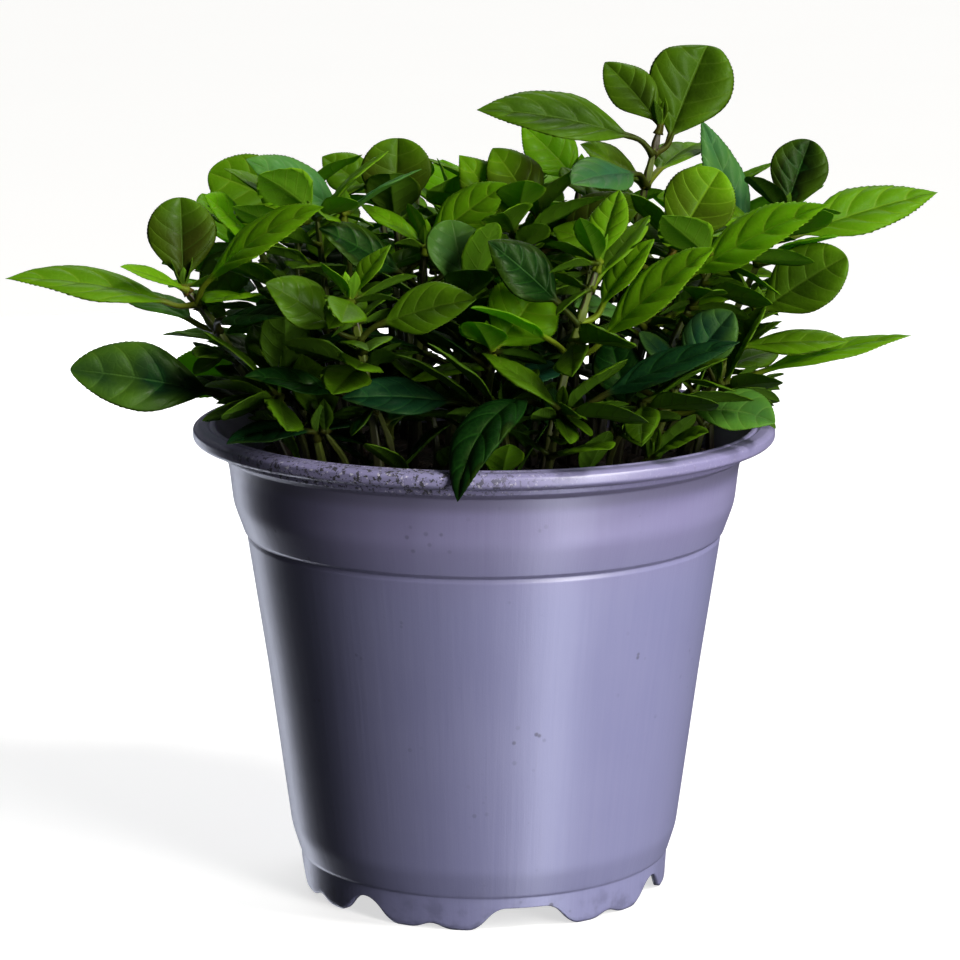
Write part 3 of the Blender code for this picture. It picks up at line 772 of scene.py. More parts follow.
def midlines(root, heading, rise, whole, droop):
    # the midlines that freeSpine would give for each turn and lift of leafTurns, all at once
    turn, lift = np.array(leafTurns, float).T
    turn, share = np.radians(heading + turn), (np.arange(16) + 0.5) / 16
    angle = np.radians((rise + lift)[:, None] + droop * (0.5 - share))
    flat, climb = np.cos(angle) * whole / 16, np.sin(angle) * whole / 16
    steps = np.stack([flat * np.cos(turn)[:, None], flat * np.sin(turn)[:, None], climb], -1)
    return root + np.cumsum(steps, axis=1)


def fits(points, loose, ignored=None):
    # for each set of points: all in the frame's box, off the rim, clear of the crowd but for the ignored
    # ones and, unless loose, in the crown's outline
    inBox = ((points > keepLow) & (points < keepHigh)).all((-1, -2))
    reach = np.hypot(points[..., 0], points[..., 1])
    onRim = (points[..., 2] < room["rimTop"]) & (reach > room["rimReach"])
    blocked = crowd.blocked(points)
    if ignored is not None:
        blocked &= ~ignored
    outside = outsideCrown(points).any(-1) & (not loose)
    return inBox & ~onRim.any(-1) & ~blocked.any(-1) & ~outside


def placeLeaf(root, heading, rise, blade, width, trims, droop=12.0, petiole=0.2, loose=False, **rest):
    # The first trim, turn and rise, the least changed first, for which both the midline and the whole
    # leaf fit. A leaf's own stem isn't in its way.
    for trim in trims:
        lines = midlines(root, heading, rise, blade * trim * (1 + petiole), droop)[:, 5:]
        for index in np.flatnonzero(fits(lines, loose)):
            turn, lift = leafTurns[index]
            spine = freeSpine(root, heading + turn, rise + lift, blade * trim, width * trim, droop,
                              petiole=petiole, **rest)
            points = leafSamples(spine)
            if fits(points, loose, np.linalg.norm(points - root, axis=1) <= room["ownStem"]):
                return spine
    return None


def keepLeaf(spine, tone, detail="plain", reach=1):
    # a leaf takes its room in the crowd, and its surface joins the plant
    crowd.add(leafSamples(spine), reach)
    solid.add(leafSamples(spine, "fill"), 0)
    return leafSurface(spine, tone, detail, rng)


leafTurns = sorted(((turn, lift) for turn in range(-55, 56, 11) for lift in (0, 10, -10, 20, 32, 46)),
                   key=lambda pair: abs(pair[0]) + abs(pair[1]))
keepLow = np.array(cadBox[0]) + np.array([room["margin"], room["margin"], room["lowest"]])
keepHigh = np.array(cadBox[1]) - room["margin"]
print("helpers ready")

rng = np.random.default_rng(41)
leafMaterial = makeLeafMaterial()
stemMaterial = makeStemMaterial()
crowd, solid = Crowd(), Crowd()  # cells too near for another leaf, and cells that hold something

nodeDrop = 2.4 * mm  # petioles leave the stem this far below the node, so that they rise at a slant
rimRing = {"radii": (60, 66.1), "height": 105.2 * mm, "points": 500}  # room that the pot's rim takes
stems = {name: readStem(name) for name in sorted(nodes) if name.startswith("stem_")}
spines = {}
for name, stem in stems.items():
    below, _, _ = stemPoint(stem, stem["distance"][-1] - 2.0 * mm)
    spines[name] = [leafSpine(stem["leafRings"], stem["tip"], below[0])]
    centre, _, _ = stemPoint(stem, np.arange(7 * mm, stem["distance"][-1], 0.7 * mm))
    crowd.add(centre, 2)
    solid.add(centre, 1)
for name in sorted(nodes):
    if not name.startswith("leaf_pair"):
        continue
    stem = stems["stem_" + name[10:12]]
    rings = ringsFrom(*mergedMesh(nodes[name]))  # tip, six rings, three at the stem, six rings and tip
    first, second = rings[6:0:-1], rings[10:16]
    middle = (first[0].mean(0) + second[0].mean(0)) / 2
    place = nearestOn(stem, middle)
    stem["nodes"].append(place)
    node = stemPoint(stem, max(place - nodeDrop, 0.0))[0][0]
    pair = [leafSpine(first, rings[0][0], node), leafSpine(second, rings[16][0], node)]
    spines[name] = sorted(pair, key=lambda spine: spine["centre"][-1][0])
for own in spines.values():
    for spine in own:
        crowd.add(leafSamples(spine, "placeFrame"))
        solid.add(leafSamples(spine, "fillFrame"), 0)
turn = np.linspace(0, 2 * math.pi, rimRing["points"], endpoint=False)
for radius in np.arange(*rimRing["radii"], 1.0) * mm:
    crowd.add(ringOf(np.stack([np.cos(turn), np.sin(turn)], -1), radius, rimRing["height"]))
print("read", len(stems), "stems and", sum(map(len, spines.values())), "leaves of the frame")

for name, own in spines.items():
    shapes = []
    for place, spine in enumerate(own):
        tone = toneFor(name, spine["centre"][-1], place if len(own) == 2 else None)
        shapes.append(leafSurface(spine, tone, "fine", rng))
    if name.startswith("leaf_pair"):
        makePiece(name.replace("leaf_pair", "mint_leaves"), joined(shapes), leafMaterial, [name])
    else:
        stems[name]["tipShape"] = shapes[0]
print("leaf pairs made")

# the young leaf opposite each tip leaf, and the tiny crossed leaves of the bud
tuftShape = {"opposite": 0.8, "budLeaf": 6.5 * mm, "budRise": 66}
tufts = []
for name, stem in stems.items():
    spine = spines[name][0]
    top = stem["centre"][-1]
    ahead = spine["centre"][-1] - top
    heading = math.degrees(math.atan2(ahead[1], ahead[0]))
    rise = math.degrees(math.atan2(ahead[2], np.hypot(ahead[0], ahead[1])))
    tone = toneFor(name, top)
    size, wide = spine["length"], 2 * spine["half"]
    made = placeLeaf(top, heading + 180, min(rise, 50), size * tuftShape["opposite"],
                     wide * tuftShape["opposite"], (1.0, 0.85, 0.7, 0.55), petiole=0.1)
    if made:
        tufts.append(keepLeaf(made, tone))
    for number, (turn, scale) in enumerate(((90, 1.0), (-90, 0.92), (8, 0.6), (188, 0.56))):
        blade = tuftShape["budLeaf"] * scale * rng.uniform(0.85, 1.15)
        budTone = toneOf(max(0.0, tone["age"] - 0.15), 0.3 + 0.5 * tone["flush"], blunt=0.2)
        bud = freeSpine(top, heading + turn, tuftShape["budRise"] + 6 * number, blade, blade * 0.5,
                        droop=-20.0, petiole=0.06)
        tufts.append(leafSurface(bud, budTone, "small", rng))
print("tufts made:", len(tufts))

# Leaf pairs up a stem at the nodes that have none, turned a right angle at each node.
fillShape = {"spacing": 8.5 * mm, "blade": (26 * mm, 18 * mm), "bladeAt": (0.1, 1.0), "width": 0.56,
             "petiole": 0.22, "trims": (1.0, 0.86, 0.74, 0.62), "clearTop": 4 * mm, "clearNode": 3.8 * mm}
fills = []


def growPairs(stem, first, blades, heading, aged):
    shape = fillShape
    whole = stem["distance"][-1]
    place = first
    while place < whole - shape["clearTop"]:
        if all(abs(place - taken) > shape["clearNode"] for taken in stem["nodes"]):
            centre, _, _ = stemPoint(stem, place)
            blade = np.interp(place / whole, shape["bladeAt"], blades) * rng.uniform(0.85, 1.15)
            grown = False
            for side in (0, 180):
                spine = placeLeaf(centre[0], heading + side + rng.uniform(-8, 8), rng.uniform(-4, 30),
                                  blade, blade * shape["width"] * rng.uniform(0.9, 1.15),
                                  shape["trims"], petiole=shape["petiole"],
                                  roll=rng.uniform(-25, 25), droop=rng.uniform(6, 30))
                if spine:
                    tone = toneFor("", spine["centre"][-1])
                    tone["age"] += rng.uniform(-0.1, aged)
                    tone["blunt"] = rng.uniform(0.2, 0.8)
                    fills.append(keepLeaf(spine, tone))
                    grown = True
            if grown:
                stem["nodes"].append(place)
        heading += 90
        place += shape["spacing"] * rng.uniform(0.85, 1.15)


# a few small leaves at the front that lie low behind the rim: root, heading, rise, blade, width, age and
# shade
rimLeaves = (
    ((3.0, -43.0, 98.5), 282, 26, 12.0, 8.5, 0.35),
    ((-14.0, -37.0, 98.0), 236, 12, 17.0, 8.0, 0.85),
    ((34.0, -30.0, 98.0), 318, 12, 18.0, 7.5, 0.80),
    ((20.0, -40.0, 98.0), 300, 18, 14.0, 7.5, 0.90),
    ((-38.0, -26.0, 98.0), 222, 22, 14.0, 8.0, 0.80),
)
for (x, y, z), heading, rise, blade, width, age in rimLeaves:
    root = np.array([x, y, z]) * mm
    spine = placeLeaf(root, heading, rise, blade * mm, width * mm, (1.0, 0.85, 0.7), petiole=0.3)
    if spine:
        fills.append(keepLeaf(spine, toneOf(age, blunt=0.6)))
print("rim leaves:", len(fills))

# leaves that fill out the crown's outline: stem, how far below its top, heading, rise, blade, width, roll,
# age and shade, and flush
crownLeaves = (
    ("stem_01", 1.0, 183, 31, 15.5, 6.0, -30, 0.10, 0.1),
    ("stem_01", 0.5, 188, 54, 12.0, 4.8, -20, 0.15, 0.2),
    ("stem_07", 2.0, 178, 60, 17.0, 11.5, 20, 0.60, 0.0),
    ("stem_07", 1.0, 184, 76, 18.0, 7.0, 30, 0.35, 0.0),
    ("stem_08", 9.0, 5, 14, 22.0, 9.0, 30, 0.60, 0.0),
    ("stem_03", 14.0, 182, 33, 15.5, 10.0, -30, 0.55, 0.5),
    ("stem_03", 21.0, 176, 35, 14.0, 9.5, -30, 0.60, 0.3),
    ("stem_22", 1.0, 182, 50, 17.5, 12.0, -20, 0.30, 0.0),
    ("stem_22", 3.0, 170, 74, 19.0, 12.0, -20, 0.35, 0.0),
)
for name, back, heading, rise, blade, width, roll, age, flush in crownLeaves:
    root, _, _ = stemPoint(stems[name], stems[name]["distance"][-1] - back * mm)
    spine = placeLeaf(root[0], heading, rise, blade * mm, width * mm, (1.0, 0.9, 0.8, 0.7), roll=roll,
                      petiole=0.12, loose=True)
    if spine:
        fills.append(keepLeaf(spine, toneOf(age, flush, blunt=0.5)))
print("with crown leaves:", len(fills), "of", len(rimLeaves) + len(crownLeaves))

# Further shoots between the stems, each as tall as there is room for. Those at the front stay low.
# Each top has a large and a small pair of leaves: heading, rise and blade in millimetres.
shootShape = {"feet": 90, "reach": 51 * mm, "footHeight": 92 * mm, "goldenTurn": 2.39996,
              "heights": (60, 52, 45, 38, 31, 24, 17), "frontHeight": 26, "front": -14 * mm,
              "topReach": 56 * mm, "most": 44, "tries": 9, "points": 26, "halves": (1.05, 0.6), "pale": 0.6,
              "tops": ((0, 42, 19), (180, 38, 18), (90, 66, 8), (270, 64, 7)), "smallPair": 10,
              "loneTop": (58, 15), "topAge": 0.8, "blades": (22 * mm, 18 * mm)}


def findShoot(turn, reach):
    # the tallest curve up from a foot, at a heading and reach, that leans outwards and meets nothing
    shape = shootShape
    foot = np.array([reach * math.cos(turn), reach * math.sin(turn), shape["footHeight"]])
    for height in shape["heights"]:
        if foot[1] < shape["front"] and height > shape["frontHeight"]:
            continue
        for _ in range(shape["tries"]):
            lean = foot * [1, 1, 0] * rng.uniform(0.0, 0.35)
            lean[:2] += rng.normal(0, 0.08, 2) * height * mm
            line = np.array([foot, foot + lean * 0.3 + upward * height * 0.55 * mm,
                             foot + lean + upward * height * mm])
            centre, _ = curveThrough(np.array([0.0, 0.5, 1.0]), line, np.linspace(0, 1, shape["points"]))
            within = math.hypot(*centre[-1][:2]) < shape["topReach"]
            if within and not crowd.blocked(centre[4:]).any():
                distance = np.linalg.norm(np.diff(centre, axis=0), axis=1)
                crowd.add(centre, 2)
                solid.add(centre, 1)
                return {"distance": np.concatenate([[0.0], np.cumsum(distance)]), "centre": centre,
                        "corner": np.tile([math.cos(turn), math.sin(turn), 0.0], (len(centre), 1)),
                        "half": np.linspace(*shape["halves"], len(centre)) * mm, "nodes": [],
                        "pale": shape["pale"]}
    return None


shoots = []
for number in rng.permutation(shootShape["feet"]):
    out = math.sqrt((number + 0.5) / shootShape["feet"])
    shoot = findShoot(number * shootShape["goldenTurn"], shootShape["reach"] * out)
    if shoot and len(shoots) < shootShape["most"]:
        shoots.append(shoot)
print("shoots:", len(shoots))
for shoot in shoots:
    top = shoot["centre"][-1]
    heading = rng.uniform(0, 360)
    topTone = toneFor("", top)
    topTone["age"] *= shootShape["topAge"]
    before = len(fills)
    for turn, rise, blade in shootShape["tops"]:
        if blade < shootShape["smallPair"] and len(fills) == before:
            rise, blade = shootShape["loneTop"]  # the small pair takes the place of the large one
        spine = placeLeaf(top, heading + turn, rise, blade * mm, blade * 0.6 * mm,
                          (1.0, 0.85, 0.7), petiole=0.12)
        if spine:
            fills.append(keepLeaf(spine, topTone))
    shoot["heading"] = heading + 90
print("leaves at their tops:", len(fills))
for shoot in shoots:
    growPairs(shoot, 7 * mm, shootShape["blades"], shoot["heading"], 0.15)
print("with leaf pairs:", len(fills))
for name, stem in stems.items():
    growPairs(stem, (10 + rng.uniform(0, 4)) * mm, fillShape["blade"], rng.uniform(0, 180), 0.2)
print("with leaf pairs on the stems:", len(fills))

# Leaves for the open places of the crown. Rays from one side after another pass through points of an
# upright plane. Where one meets nothing, a leaf grows towards it from a shoot, its face to that side.
closing = {
    "across": (-84, 90), "up": (107, 166), "pitch": 3.6 * mm,
    "oval": (62 * mm, 105 * mm, 50 * mm),  # from other sides: half width, foot and height of what is closed
    "levels": (107 * mm, 130 * mm, 150 * mm, 165 * mm),  # heights, and how deep a ray is followed there
    "depths": (-24 * mm, -16 * mm, 4 * mm, 32 * mm),
    "through": 60 * mm,  # the depth of a ray that is followed all the way
    "step": 0.8,
    "fronts": (0,) * 8,  # turns of the passes whose rays go all the way, and of the others
    "turns": (0, 0, 0, 180, 90, 270, 40, 320, 140, 220),
    "most": 600,         # leaves, with those before
    "bearersAbove": 103 * mm,
    "nearest": 4 * mm, "farthest": 15 * mm,  # how far from its root a ray may be
    "behind": 4 * mm,
    "rises": (-30, 80),
    "leaf": (11 * mm, 25 * mm), "petiole": 0.18, "aim": 0.6,  # the share of a leaf's length at the ray
    "trims": (1.0, 0.86, 0.72), "moreTrims": (0.6, 0.5),
    "tries": 20,
    "touch": 2 * mm,
}
bearers = np.concatenate([stem["centre"][4:] for stem in [*stems.values(), *shoots]])
bearers = bearers[bearers[:, 2] > closing["bearersAbove"]]
depths = np.arange(-60, 61, closing["step"]) * mm


def raysFrom(turn):
    # the eye for a turn about the upright axis, and the points of the plane that it looks through
    pitch = closing["pitch"]
    across, up = np.meshgrid(*(np.arange(*closing[key], pitch / mm) for key in ("across", "up")))
    shift = rng.uniform(-0.5, 0.5, 2) * pitch
    across, up = across.ravel() * mm + shift[0], up.ravel() * mm + shift[1]
    if turn == 0:
        keep = ~outsideCrown(np.stack([across, 0 * across, up + 2 * mm], -1))
    else:
        wide, foot, high = closing["oval"]
        keep = (across / wide) ** 2 + ((up - foot) / high) ** 2 < 1
    angle = math.radians(turn)
    right = np.array([math.cos(angle), math.sin(angle), 0])
    back = np.cross(upward, right)
    view = back * eye[1] + upward * eye[2]
    targets = right * across[keep, None] + upward * up[keep, None]
    return view, back, rng.permutation(targets)


def closePlace(view, back, target, through):
    # One leaf towards the ray from view through target, if nothing crosses the ray, as deep as its height
    # asks or all the way through, and there is room.
    way = closing
    ray = unit(target - view)
    deepest = way["through"] if through else np.interp(target[2], way["levels"], way["depths"])
    line = target + ray * (depths[depths < deepest] / (ray @ back))[:, None]
    if solid.blocked(line).any():
        return None
    near = view + ray * ((bearers - view) @ ray)[:, None]
    gap = np.linalg.norm(near - bearers, axis=1)
    fit = (gap > way["nearest"]) & (gap < way["farthest"]) & (near @ back < deepest + way["behind"])
    for index in rng.permutation(np.flatnonzero(fit))[:way["tries"]]:
        root, aim = bearers[index], unit(near[index] - bearers[index])
        heading = math.degrees(math.atan2(aim[1], aim[0]))
        rise = math.degrees(math.asin(aim[2]))
        if not way["rises"][0] < rise < way["rises"][1]:
            continue
        blade = float(np.clip(gap[index] / way["aim"], *way["leaf"])) / (1 + way["petiole"])
        facing = math.copysign(rng.uniform(15, 45), np.cross(aim, upward) @ ray)
        spine = placeLeaf(root, heading, rise, blade, blade * rng.uniform(0.5, 0.66),
                          way["trims"] + way["moreTrims"] * through,
                          droop=rng.uniform(0, 24), petiole=way["petiole"], roll=facing)
        if spine is None:
            continue
        points = leafSamples(spine) - view
        if np.linalg.norm(points - (points @ ray)[:, None] * ray, axis=1).min() < way["touch"]:
            return spine
    return None


passes = [(turn, True) for turn in closing["fronts"]] + [(turn, False) for turn in closing["turns"]]
for turn, through in passes:
    view, back, targets = raysFrom(turn)
    for target in targets:
        if len(fills) >= closing["most"]:
            break
        spine = closePlace(view, back, target, through)
        if spine:
            tone = toneFor("", spine["centre"][-1])
            tone["blunt"] = rng.uniform(0.2, 0.9)
            fills.append(keepLeaf(spine, tone, "small", reach=0))
print("leaves in all:", len(fills))

for name, stem in stems.items():
    makePiece(name.replace("stem_", "mint_stem_"), stemSurface(stem), stemMaterial, [name])
    makePiece(name.replace("stem_", "mint_tip_leaf_"), stem["tipShape"], leafMaterial, [name])

makePiece("bud_tufts", joined(tufts), leafMaterial)
leavesInPiece = 80
for number, first in enumerate(range(0, len(fills), leavesInPiece), 1):
    makePiece(f"inner_leaves_{number}", joined(fills[first:first + leavesInPiece]), leafMaterial)
makePiece("side_shoots", joined([stemSurface(shoot) for shoot in shoots]), stemMaterial)


potLook = {
    "body": (0.210, 0.212, 0.380),
    "upper": (0.228, 0.208, 0.374),
    "worn": (0.27, 0.27, 0.44),
    # the colour of runs of stain, and of the painted shade inside the wall below the rim
    "stain": (0.15, 0.14, 0.22),
    # the colour of dirt and soil specks, of darker patches at the foot, and of the painted shade in the
    # groove
    "dirt": (0.010, 0.008, 0.006),
    "scratch": (0.62, 0.60, 0.68),
    "roughness": 0.31,
    "groove": 0.0808,  # height of the groove under the upper band, where a dark line of painted shade is drawn
}

potShape = {  # lengths in millimetres, angles in degrees
    "sectors": 7,
    "sectorColumns": 40,
    "firstNotch": -77.3,
    "deep": 5.0,         # heights of the foot's notches and of the scallops between them
    "shallow": 1.8,
    "ramp": 6.0,
    "shallowHalf": 4.5,
    "softening": 2.6,
    "tops": (9.0, 3.0, 9.0, 3.0, 3.0, 9.0, 3.0),  # half width of each notch at its top
    "drainRing": 27.0,
    "drainRadius": 3.5,
    "floorTop": 9.4,
    "floorBottom": 8.2,
    "innerRing": 12.0,
    "footOutside": 41.5,  # radii of the foot's edge
    "footInside": 39.9,
    "footFlare": 0.8,
    "footRounding": 0.25,
    "longestStep": 5.5,
}


def footEdge(turn):
    # Height of the foot's lower edge by heading: ramps into deep notches and shallow scallops, averaged
    # over a few degrees to round their corners.
    shape = potShape
    pitch = 360 / shape["sectors"]
    headings, heights = [], []
    for index, top in enumerate(shape["tops"]):
        centre = shape["firstNotch"] + index * pitch
        after = centre + top + shape["ramp"]
        following = shape["tops"][(index + 1) % shape["sectors"]]
        before = centre + pitch - following - shape["ramp"]
        middle = (after + before) / 2
        half = shape["shallowHalf"]
        headings += [centre - top, centre + top, after, middle - half, middle, middle + half, before]
        heights += [shape["deep"], shape["deep"], 0.0, 0.0, shape["shallow"], 0.0, 0.0]
    around = np.linspace(-shape["softening"], shape["softening"], 13)[:, None]
    return np.interp(turn + around, headings, heights, period=360).mean(0)


def roundedLine(corners):
    # A line of (r, z, rounding) whose corners become arcs: a quadratic curve from one side to the other.
    points = []
    for index, (r, z, rounding) in enumerate(corners):
        here = np.array([r, z])
        if rounding == 0 or index in (0, len(corners) - 1):
            points.append(here[None])
            continue
        before, after = np.array(corners[index - 1][:2]), np.array(corners[index + 1][:2])
        start = here + (before - here) * min(0.48, rounding / np.linalg.norm(before - here))
        end = here + (after - here) * min(0.48, rounding / np.linalg.norm(after - here))
        t = np.linspace(0, 1, 6)[:, None]
        points.append((1 - t) ** 2 * start + 2 * t * (1 - t) * here + t ** 2 * end)
    return np.concatenate(points)


# radius, height and rounding of the wall's section, up the inside, over the rim and down the outside
potSection = (
    (42.2, 9.4, 0), (43.0, 14.0, 1.5), (47.8, 50.9, 0), (52.0, 79.2, 1.0), (52.3, 81.6, 1.0),
    (54.7, 86.6, 1.5), (55.9, 97.3, 1.5), (59.6, 104.6, 0.5), (60.1, 105.55, 0.4), (61.0, 105.5, 0.3),
    (61.35, 105.1, 0.25), (61.7, 105.5, 0.3), (63.9, 105.4, 0.5), (65.0, 104.7, 0.45), (65.0, 102.9, 0.4),
    (64.4, 102.3, 0.3), (60.6, 101.4, 0.35), (60.3, 100.2, 0.3), (57.7, 98.9, 0.4), (57.0, 95.5, 0.8),
    (56.2, 88.2, 1.6), (53.9, 81.7, 0.25), (53.0, 80.9, 0.25), (53.12, 80.3, 0.25), (53.2, 79.9, 0.3),
    (53.05, 79.0, 0.5), (48.9, 50.9, 0), (44.0, 13.4, 1.5), (42.3, 7.9, 0.4), (41.95, 7.4, 0.3),
    (41.9, 6.4, 0.3),
)


def subdivided(line, longest):
    # more points where neighbours lie farther apart than longest
    parts = [line[:1]]
    for a, b in zip(line[:-1], line[1:]):
        steps = max(1, math.ceil(np.linalg.norm(b - a) / longest))
        parts.append(a + (b - a) * (np.arange(1, steps + 1) / steps)[:, None])
    return np.concatenate(parts)


def makePot():
    shape = potShape
    columns = shape["sectors"] * shape["sectorColumns"]
    turn = -180 / shape["sectors"] + 360 * np.arange(columns) / columns
    spoke = np.stack([np.cos(np.radians(turn)), np.sin(np.radians(turn))], -1)
    section = subdivided(roundedLine(potSection), shape["longestStep"])
    edge = footEdge(turn)
    rings = [ringOf(spoke, r, z) for r, z in section]
    topZ, topR = section[-1][1], section[-1][0]
    for share in (0.7, 0.4, 0.2, 0.08, 0.0):  # down the foot's outside to its notched edge
        z = np.minimum(edge, topZ - 0.3) * (1 - share) + topZ * share
        outside = shape["footOutside"]
        r = outside + (topR - outside) * z / topZ - shape["footRounding"] * (share == 0.0)
        rings.append(ringOf(spoke, r, z))
    for share in (0.0, 0.1, 0.35, 0.7, 1.0):  # and up its inside to the floor
        z = np.minimum(edge, shape["floorBottom"] - 0.3) * (1 - share) + shape["floorBottom"] * share
        r = shape["footInside"] + shape["footFlare"] * z / shape["floorBottom"]
        r = r + shape["footRounding"] * (share == 0.0)
        rings.append(ringOf(spoke, r, z))
    rings = np.array(rings)
    shapes = [(rings.reshape(-1, 3), ringFaces(len(rings), columns).tolist(), {})]
    inner = shape["innerRing"]
    low = shape["footInside"] + shape["footFlare"]
    for z, outer in ((shape["floorTop"], section[0][0]), (shape["floorBottom"], low)):
        disc = [ringOf(spoke, r, z) for r in np.linspace(shape["drainRadius"], inner, 4)]
        shapes.append((np.concatenate(disc), ringFaces(4, columns).tolist(), {}))
        for sector in range(shape["sectors"]):
            hole = drainCircle(drainLoop(spoke, sector, inner, section[0][0]), sector)
            shapes.append(drainPatch(drainLoop(spoke, sector, inner, outer), hole, z))
            if z == shape["floorTop"]:
                shapes.append(holeWall(hole))
    shapes.append(holeWall(spoke * shape["drainRadius"]))
    points, faces, _ = joined(shapes)
    return points * mm, faces


def drainLoop(spoke, sector, inner, outer):
    # the edge of one sector of the floor: outer arc, side, inner arc, side
    wide = potShape["sectorColumns"]
    arc = spoke[np.arange(sector * wide, (sector + 1) * wide + 1) % len(spoke)]
    side = np.linspace(outer, inner, 13)[1:-1, None]
    return np.concatenate([arc * outer, arc[-1] * side, arc[::-1] * inner, arc[0] * side[::-1]])


def drainCircle(loop, sector):
    centre = potShape["drainRing"] * np.array([
        math.cos(math.radians(360 * sector / potShape["sectors"])),
        math.sin(math.radians(360 * sector / potShape["sectors"]))])
    return centre + potShape["drainRadius"] * unit(loop - centre)


def drainPatch(loop, hole, z):
    # rings that go from the sector's edge to the drain hole in it
    steps = np.array([0.0, 0.35, 0.7, 1.0])[:, None, None]
    flat = loop * (1 - steps) + hole * steps
    rings = np.concatenate([flat, np.full((*flat.shape[:2], 1), z)], -1)
    return rings.reshape(-1, 3), ringFaces(4, len(loop)).tolist(), {}


def holeWall(circle):
    rings = np.stack([ringOf(circle, 1, z) for z in (potShape["floorTop"], potShape["floorBottom"])])
    return rings.reshape(-1, 3), ringFaces(2, len(circle)).tolist(), {}


def makePotMaterial():
    look = potLook
    material, start, shader = newMaterial("lilacPotPlastic")
    place = start.node("TexCoord", output=3)
    split = start.node("SeparateXYZ", {}, {0: place})
    x, y, z = split, split.other(1), split.other(2)
    turn = y.maths("ARCTAN2", x)
    reach = (x * x + y * y).maths("SQRT")
    drawn = start.node("CombineXYZ", {}, {0: turn * 14.0, 1: z * 9.0, 2: reach * 20.0})
    streaks = start.noise(drawn, 3.2, 4.0, 0.6)
    cloud = start.noise(place, 38.0, 3.0)
    grain = start.noise(place, 2600.0, 2.0)
    specks = start.node("TexVoronoi", {"feature": "F1"}, {"Vector": place, "Scale": 330.0})
    chosen = start.noise(place, 70.0, 2.0).smooth(0.56, 0.72)
    dots = (1.0 - specks.smooth(0.10, 0.22)) * chosen
    body = z.smooth(0.070, 0.095).blend(look["body"], look["upper"])
    colour = ((streaks - 0.35) * 0.55 + (cloud - 0.45) * 0.7).maths("MAXIMUM", 0.0).blend(body, look["worn"])
    runs = streaks.smooth(0.58, 0.78) * cloud.smooth(0.45, 0.7) * 0.22
    colour = runs.blend(colour, look["stain"])
    rimDirt = z.smooth(0.0985, 0.1010) * start.noise(place, 900.0, 4.0, 0.7).smooth(0.53, 0.57)
    chips = z.smooth(0.0992, 0.1000) * start.noise(place, 1300.0, 3.0, 0.6).smooth(0.62, 0.65)
    front = turn.smooth(-2.75, -2.2) * (1.0 - turn.smooth(-1.75, -1.2))  # the side with most soil on the rim
    # painted shade: a dark line along the groove under the upper band
    groove = (1.0 - (z - look["groove"]).maths("ABSOLUTE").smooth(0.0002, 0.0011)) * 0.25
    # dirt on the rim and soil specks, with the groove's painted shade
    soilAndShade = (rimDirt * (front * 0.9 * cloud.smooth(0.35, 0.55) + 0.04) + dots * 0.5 + groove * cloud)
    soilAndShade = soilAndShade.maths("MINIMUM", 1.0)
    low = (1.0 - z.smooth(0.0, 0.011)) * start.noise(place, 260.0, 3.0).smooth(0.45, 0.7) * 0.35
    colour = (soilAndShade + low).maths("MINIMUM", 1.0).blend(colour, look["dirt"])
    colour = (chips * (front * 0.7 + 0.15)).blend(colour, look["scratch"])
    # painted shade on the inside of the wall near the top
    inside = (1.0 - reach.smooth(0.0595, 0.0603)) * z.smooth(0.095, 0.0975)
    colour = (inside * 0.6).blend(colour, look["stain"])
    height = streaks * 0.35 + grain * 0.12 + soilAndShade * 0.5 + cloud * 0.3
    normal = start.node("Bump", {}, {"Strength": 0.35, "Distance": 0.0003, "Height": height})
    rough = look["roughness"] + streaks * 0.08 + soilAndShade * 0.4 + cloud * 0.06
    feed(shader, Base_Color=colour, Roughness=rough, Normal=normal, Specular_IOR_Level=0.9)
    return material


potPiece = makePiece("nursery_pot", (*makePot(), {}), makePotMaterial(), ["pot"])
merge = bmesh.new()
merge.from_mesh(potPiece.data)
bmesh.ops.remove_doubles(merge, verts=merge.verts, dist=1e-6)
bmesh.ops.recalc_face_normals(merge, faces=merge.faces)
print("pot edges open:", sum(1 for edge in merge.edges if len(edge.link_faces) != 2))
merge.to_mesh(potPiece.data)
merge.free()


mixLook = {
    "peat": (0.010, 0.007, 0.005),
    "fibre": (0.036, 0.023, 0.014),
    "bark": (0.060, 0.034, 0.019),
}


def makeMixMaterial():
    look = mixLook
    material, start, shader = newMaterial("pottingMix")
    place = start.node("TexCoord", output=3)
    bits = start.noise(place, 520.0, 5.0, 0.7)
    patches = start.noise(place, 90.0, 3.0)
    colour = (bits.smooth(0.42, 0.62) * 0.8).blend(look["peat"], look["fibre"])
    colour = (patches.smooth(0.55, 0.68) * 0.6).blend(colour, look["bark"])
    normal = start.node("Bump", {}, {"Strength": 0.8, "Distance": 0.0008, "Height": bits})
    feed(shader, Base_Color=colour, Roughness=0.8 + bits * 0.2, Normal=normal)
    return material


mixShape = {  # in millimetres
    "columns": 150,
    "rows": 66,
    "reach": 54.6,
    "level": 95.2,
    "crown": 1.2,        # how much higher the middle is
    "lumps": 0.55,
    "lumpRange": (-1.2, 0.9),
    "wall": ((54.7, 92.0), (53.8, 86.6), (51.4, 81.6), (46.9, 50.9), (41.8, 14.0), (41.2, 9.75)),
    "crumbs": 700,
    "crumbReach": 53.5,
}


